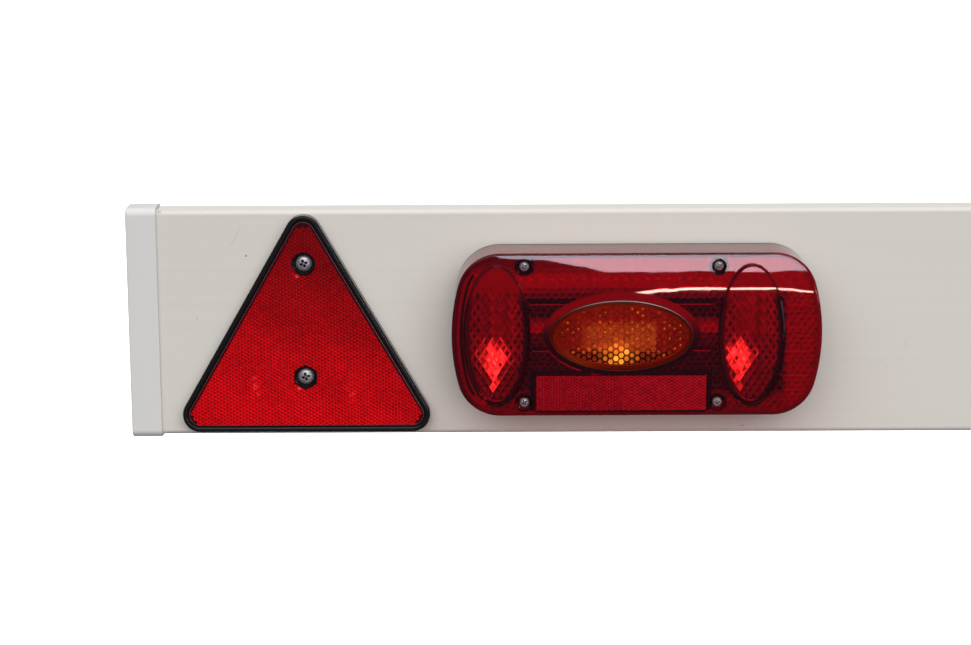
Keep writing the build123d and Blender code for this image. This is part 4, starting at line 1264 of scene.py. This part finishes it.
def pin_values(centres, middle):
    """Painted shade and glow per facet: a rise to the lower left, two sines' drift, flares and streaks."""
    x, z = (centres - middle).T
    level = PIN_SHADE + PIN_SHADE_GAIN * smooth_step(-z - GAIN_LEAN * x, *GAIN_ZONE)
    to_flare = np.linalg.norm(centres[:, None] - TRIANGLE_SCREWS - FLARE_PLACE, axis=2)
    flare = np.exp(-to_flare / FLARE_REACH).max(1)
    away = (centres[:, None] - TRIANGLE_SCREWS[0] - STREAK_PLACES) / STREAK_SIZE
    streak = (STREAK_LIGHT * np.exp(-(away ** 2).sum(2))).sum(1) * rng.uniform(0, 1, len(centres))
    drift = np.prod([np.sin((x + lean * z) / length) for lean, length in DRIFT_WAVES], axis=0)
    level = level * (1 + DRIFT * drift) + streak
    shade = level[:, None] * PIN_FACETS * rng.uniform(*PIN_SPREAD, (len(centres), 1))
    shade = np.minimum(shade + FLARE_SHADE * flare[:, None], 1)
    flash = FLARE_FLASH * np.where(flare > LEAST_FLASH, flare, 0)
    flash = flash + STREAK_FLASH * np.where(streak > LEAST_FLASH, streak, 0)
    return {"shade": shade.ravel(), "glow": (flash[:, None] * PIN_FLASH).ravel()}


print("triangle screws", TRIANGLE_SCREWS.tolist())

# %% Triangle pins: the field
PIN_RADIUS = 1.3
PIN_DEPTH = 0.25
PIN_LIFT = 0.05
PIN_STEP = np.array([1.5, math.sqrt(3) / 2])
PIN_CORNER_DEPTHS = np.array([1, 0.5] * 3)
PIN_FIELD_SIDE = 150.2
PIN_FIELD_HEIGHT = PIN_FIELD_SIDE * math.sqrt(3) / 2
PIN_FIELD_LIFT = 1.1
PIN_FIELD_CORNER = 7.0
SCREW_WELL_RADIUS = 7.2


def hexagon(radius):
    """The six corners of a hexagon, the first of them on +x."""
    turns = np.radians(np.arange(0, 360, 60))
    return radius * np.stack([np.cos(turns), np.sin(turns)], 1)


def triangle_pins():
    """Hexagonal pins held inside three straight edges and outside two screw wells."""
    inner = PIN_FIELD_HEIGHT / 3
    middle = np.array([TRIANGLE_X, plate_low[2] + PIN_FIELD_LIFT + inner])
    centres = lattice(PIN_RADIUS * PIN_STEP, (PIN_FIELD_SIDE / 2, PIN_FIELD_HEIGHT)) + middle
    edges = np.radians([-90, 30, 150])
    outward = np.stack([np.cos(edges), np.sin(edges)], 1)
    keep = ((centres - middle) @ outward.T < inner + 0.5 * PIN_RADIUS).all(1)
    keep &= ((middle - centres) @ outward.T < 2 * inner - PIN_FIELD_CORNER).all(1)
    to_screws = np.linalg.norm(centres[:, None] - TRIANGLE_SCREWS, axis=2)
    keep &= (to_screws > SCREW_WELL_RADIUS - 0.2 * PIN_RADIUS).all(1)
    centres = centres[keep]
    rings = [(1.0, PIN_DEPTH * PIN_CORNER_DEPTHS)]
    flat, depth, faces = cell_field(centres, hexagon(PIN_RADIUS), rings, 0.0)
    for normal in outward:
        past = np.maximum((flat - middle) @ normal - inner, 0)
        flat = flat - past[..., None] * normal
    for screw in TRIANGLE_SCREWS:
        flat = push_out_of_ellipse(flat, screw, np.full(2, SCREW_WELL_RADIUS))
    points = np.stack([flat[..., 0], plate_low[1] - PIN_DEPTH - PIN_LIFT + depth, flat[..., 1]], -1)
    add_both_sides("triangle_pins", points, faces, pin_facets, "reflector_red", pin_values(centres, middle),
                   thickness=0.3)


triangle_pins()

# %% Bead on the triangle's edge
LIP_RADIUS = 0.5
LIP_INSET = 0.2
LIP_SINK = 0.6
LIP_STEPS = 24


def triangle_lip():
    """A half-round bead along the plate's edge: a triangle with arcs at its corners, drawn in by an inset."""
    low, high = plate_low[[0, 2]], plate_high[[0, 2]]
    wide, tall = (high - low) * [0.5, 1.0]
    inner = (tall * math.sqrt(3) - wide - tall) / (2 * math.sqrt(3) - 3)
    corner = 3 * inner - tall
    turns = np.radians([[90], [210], [330]])
    corners = 2 * (inner - corner) * np.stack([np.cos(turns), np.sin(turns)], -1)
    sweep = turns + np.radians(np.linspace(-60, 60, LIP_STEPS))
    arc = np.stack([np.cos(sweep), np.sin(sweep)], -1)
    middle = np.array([(low + high)[0] / 2, low[1] + inner])
    # The bead's pale colour is a painted highlight along the edge
    rim_band("triangle_lip", lambda inset: (middle + corners + (corner - inset) * arc).reshape(-1, 2),
             half_round(LIP_RADIUS, LIP_INSET, LIP_SINK),
             lambda flat, depth: np.insert(flat, 1, plate_low[1] + depth, axis=1),
             {}, edge_highlight_paint, "reflector_red", thickness=0.1)


triangle_lip()

# %% [markdown]
# ## Reflex strip: small pins
#
# The strip under the indicator is a reflector too, with smaller pins on the lens's crown. Its two halves were
# cut from pins that lean opposite ways, which shows as a change of texture in the middle. The same cells are
# used as on the triangle, and only the painted shades of their facets differ from left to right.

# %% Reflex pins
REFLEX_PIN_RADIUS = 1.15
REFLEX_PIN_DEPTH = 0.35
REFLEX_FRAME = np.array([0.7, 1.0])
REFLEX_TOP_FRAME = 0.1
REFLEX_SHADE = 0.42
REFLEX_SPREAD = (0.8, 1.2)
# Painted shades of a pin's faces in the strip's left half, and in its right half
REFLEX_LEFT_FACETS = np.array([0.8, 0.8, 0.45, 0.45, 0.9, 0.9])
REFLEX_RIGHT_FACETS = np.array([0.5, 0.5, 0.8, 0.8, 1.3, 1.3])


def reflex_pins():
    """Hexagonal pins on a rectangle. Painted bright facets lean left in its left half, right in the other."""
    low = strip_low[[0, 2]] + REFLEX_FRAME
    high = strip_high[[0, 2]] - [REFLEX_FRAME[0], REFLEX_TOP_FRAME]
    middle = (low + high) / 2
    reach = (high - low) / 2 + 0.3 * REFLEX_PIN_RADIUS
    centres = lattice(REFLEX_PIN_RADIUS * PIN_STEP, reach) + middle
    rings = [(1.0, REFLEX_PIN_DEPTH * PIN_CORNER_DEPTHS)]
    flat, depth, faces = cell_field(centres, hexagon(REFLEX_PIN_RADIUS), rings, 0.0)
    drop = (strip_high[2] - LAMP_MIDDLE[1]) ** 2 / (2 * CROWN_RADIUS)
    points = crowned(np.clip(flat, low, high), depth - REFLEX_PIN_DEPTH - PIN_LIFT, strip_low[1] - drop)
    facets = np.where(centres[:, :1] > middle[0], REFLEX_RIGHT_FACETS, REFLEX_LEFT_FACETS)
    shade = REFLEX_SHADE * facets * rng.uniform(*REFLEX_SPREAD, (len(centres), 1))
    add_both_sides("reflex_pins", points, faces, pin_facets, "reflector_red",
                   {"shade": shade.ravel(), "tint": 1.0}, thickness=0.25)


reflex_pins()

# %% [markdown]
# ## Cross-recess screws
#
# All the screws that show are pan heads with a cross recess. A boolean could cut the cross, but a grid that
# is pressed in stays clean. A head is a dome on a polar grid: its height over the seat follows a quarter
# ellipse, and the cross is pressed into it where a point lies within an arm's width of either axis. The same
# grid goes on over the rim, under the head and along the shank. The arms of the cross carry dirt and painted
# shade, and its middle is left the plain zinc colour.

# %% Cross-recess screws
HEAD_TURNS = 96
HEAD_RINGS = 30
RIM_SHARE = 0.12
RECESS_DEPTH_SHARE = 0.6
RECESS_FLOOR_SHARE, ARM_FLOOR_SHARE = 0.7, 0.6
DIRT_AND_SHADE_ZONE = np.array([0.2, 0.42])
TRIANGLE_HEAD = {"radius": TRIANGLE_SCREW_RADIUS, "height": 3.0, "shank": 2.0, "arm": 0.75, "recess": 2.7}
LENS_HEAD = {"radius": LENS_SCREW_RADIUS, "height": 2.2, "shank": 1.45, "arm": 0.5, "recess": 1.8}
TRIANGLE_HEAD_TURNS = [0.25, 0.35]
LENS_HEAD_TURNS = [0.5, 0.6, 0.15, 0.4]


def screw_grid(turn, length, radius, height, shank, arm, recess):
    """Points, dirt and painted shade of a screw, head to -Y: a profile's rings, the cross pressed in."""
    quarter = np.linspace(0, math.pi / 2, HEAD_RINGS)
    dome_y = -height * (RIM_SHARE + (1 - RIM_SHARE) * np.cos(quarter))
    profile_r = np.concatenate([radius * np.sin(quarter), [radius, shank, shank, 0.0]])
    profile_y = np.concatenate([dome_y, [0.0, 0.0, length, length]])
    angle = np.arange(HEAD_TURNS) * 2 * math.pi / HEAD_TURNS
    x = profile_r[:, None] * np.cos(angle)
    z = profile_r[:, None] * np.sin(angle)
    along = np.abs(x * math.cos(turn) + z * math.sin(turn))
    aside = np.abs(z * math.cos(turn) - x * math.sin(turn))
    end = smooth_step(-np.maximum(along, aside), -recess, -RECESS_FLOOR_SHARE * recess)
    flank = smooth_step(-np.minimum(along, aside), -arm, -ARM_FLOOR_SHARE * arm)
    cross = end * flank * (np.arange(len(profile_r)) < HEAD_RINGS)[:, None]
    y = profile_y[:, None] + cross * RECESS_DEPTH_SHARE * height
    # Dirt and painted shade in the arms of the cross, none in its middle
    dirt_and_shade = cross * smooth_step(np.hypot(x, z), *(DIRT_AND_SHADE_ZONE * recess))
    return np.stack([x, y, z, dirt_and_shade], -1)


def cross_screws(name, node, places, turns, head):
    """A group of screws in one mesh, on both sides, in place of the plain ones."""
    low, high = node_box("left_" + node)
    seat = low[1] + head["height"]
    grids = np.stack([screw_grid(turn, high[1] - seat, **head) for turn in turns])
    points = grids[..., :3] + np.insert(places, 1, seat, axis=1)[:, None, None]
    rings = grids.shape[1]
    quads = grid_faces(rings, HEAD_TURNS, closed=True)[:, ::-1]
    faces = repeat_faces([*quads], len(turns), rings * HEAD_TURNS)
    dirt_and_shade = grids[..., 3].reshape(len(turns), -1)[:, quads].max(-1)
    pieces = add_both_sides(name, points, faces, zinc, "screw_steel", {"recess": dirt_and_shade.ravel()}, smooth=True)
    for piece in pieces:
        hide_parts(piece.name.replace(name, node))


cross_screws("triangle_cross_screws", "triangle_screws", TRIANGLE_SCREWS, TRIANGLE_HEAD_TURNS, TRIANGLE_HEAD)
cross_screws("lens_cross_screws", "lens_screws", LENS_SCREWS, LENS_HEAD_TURNS, LENS_HEAD)
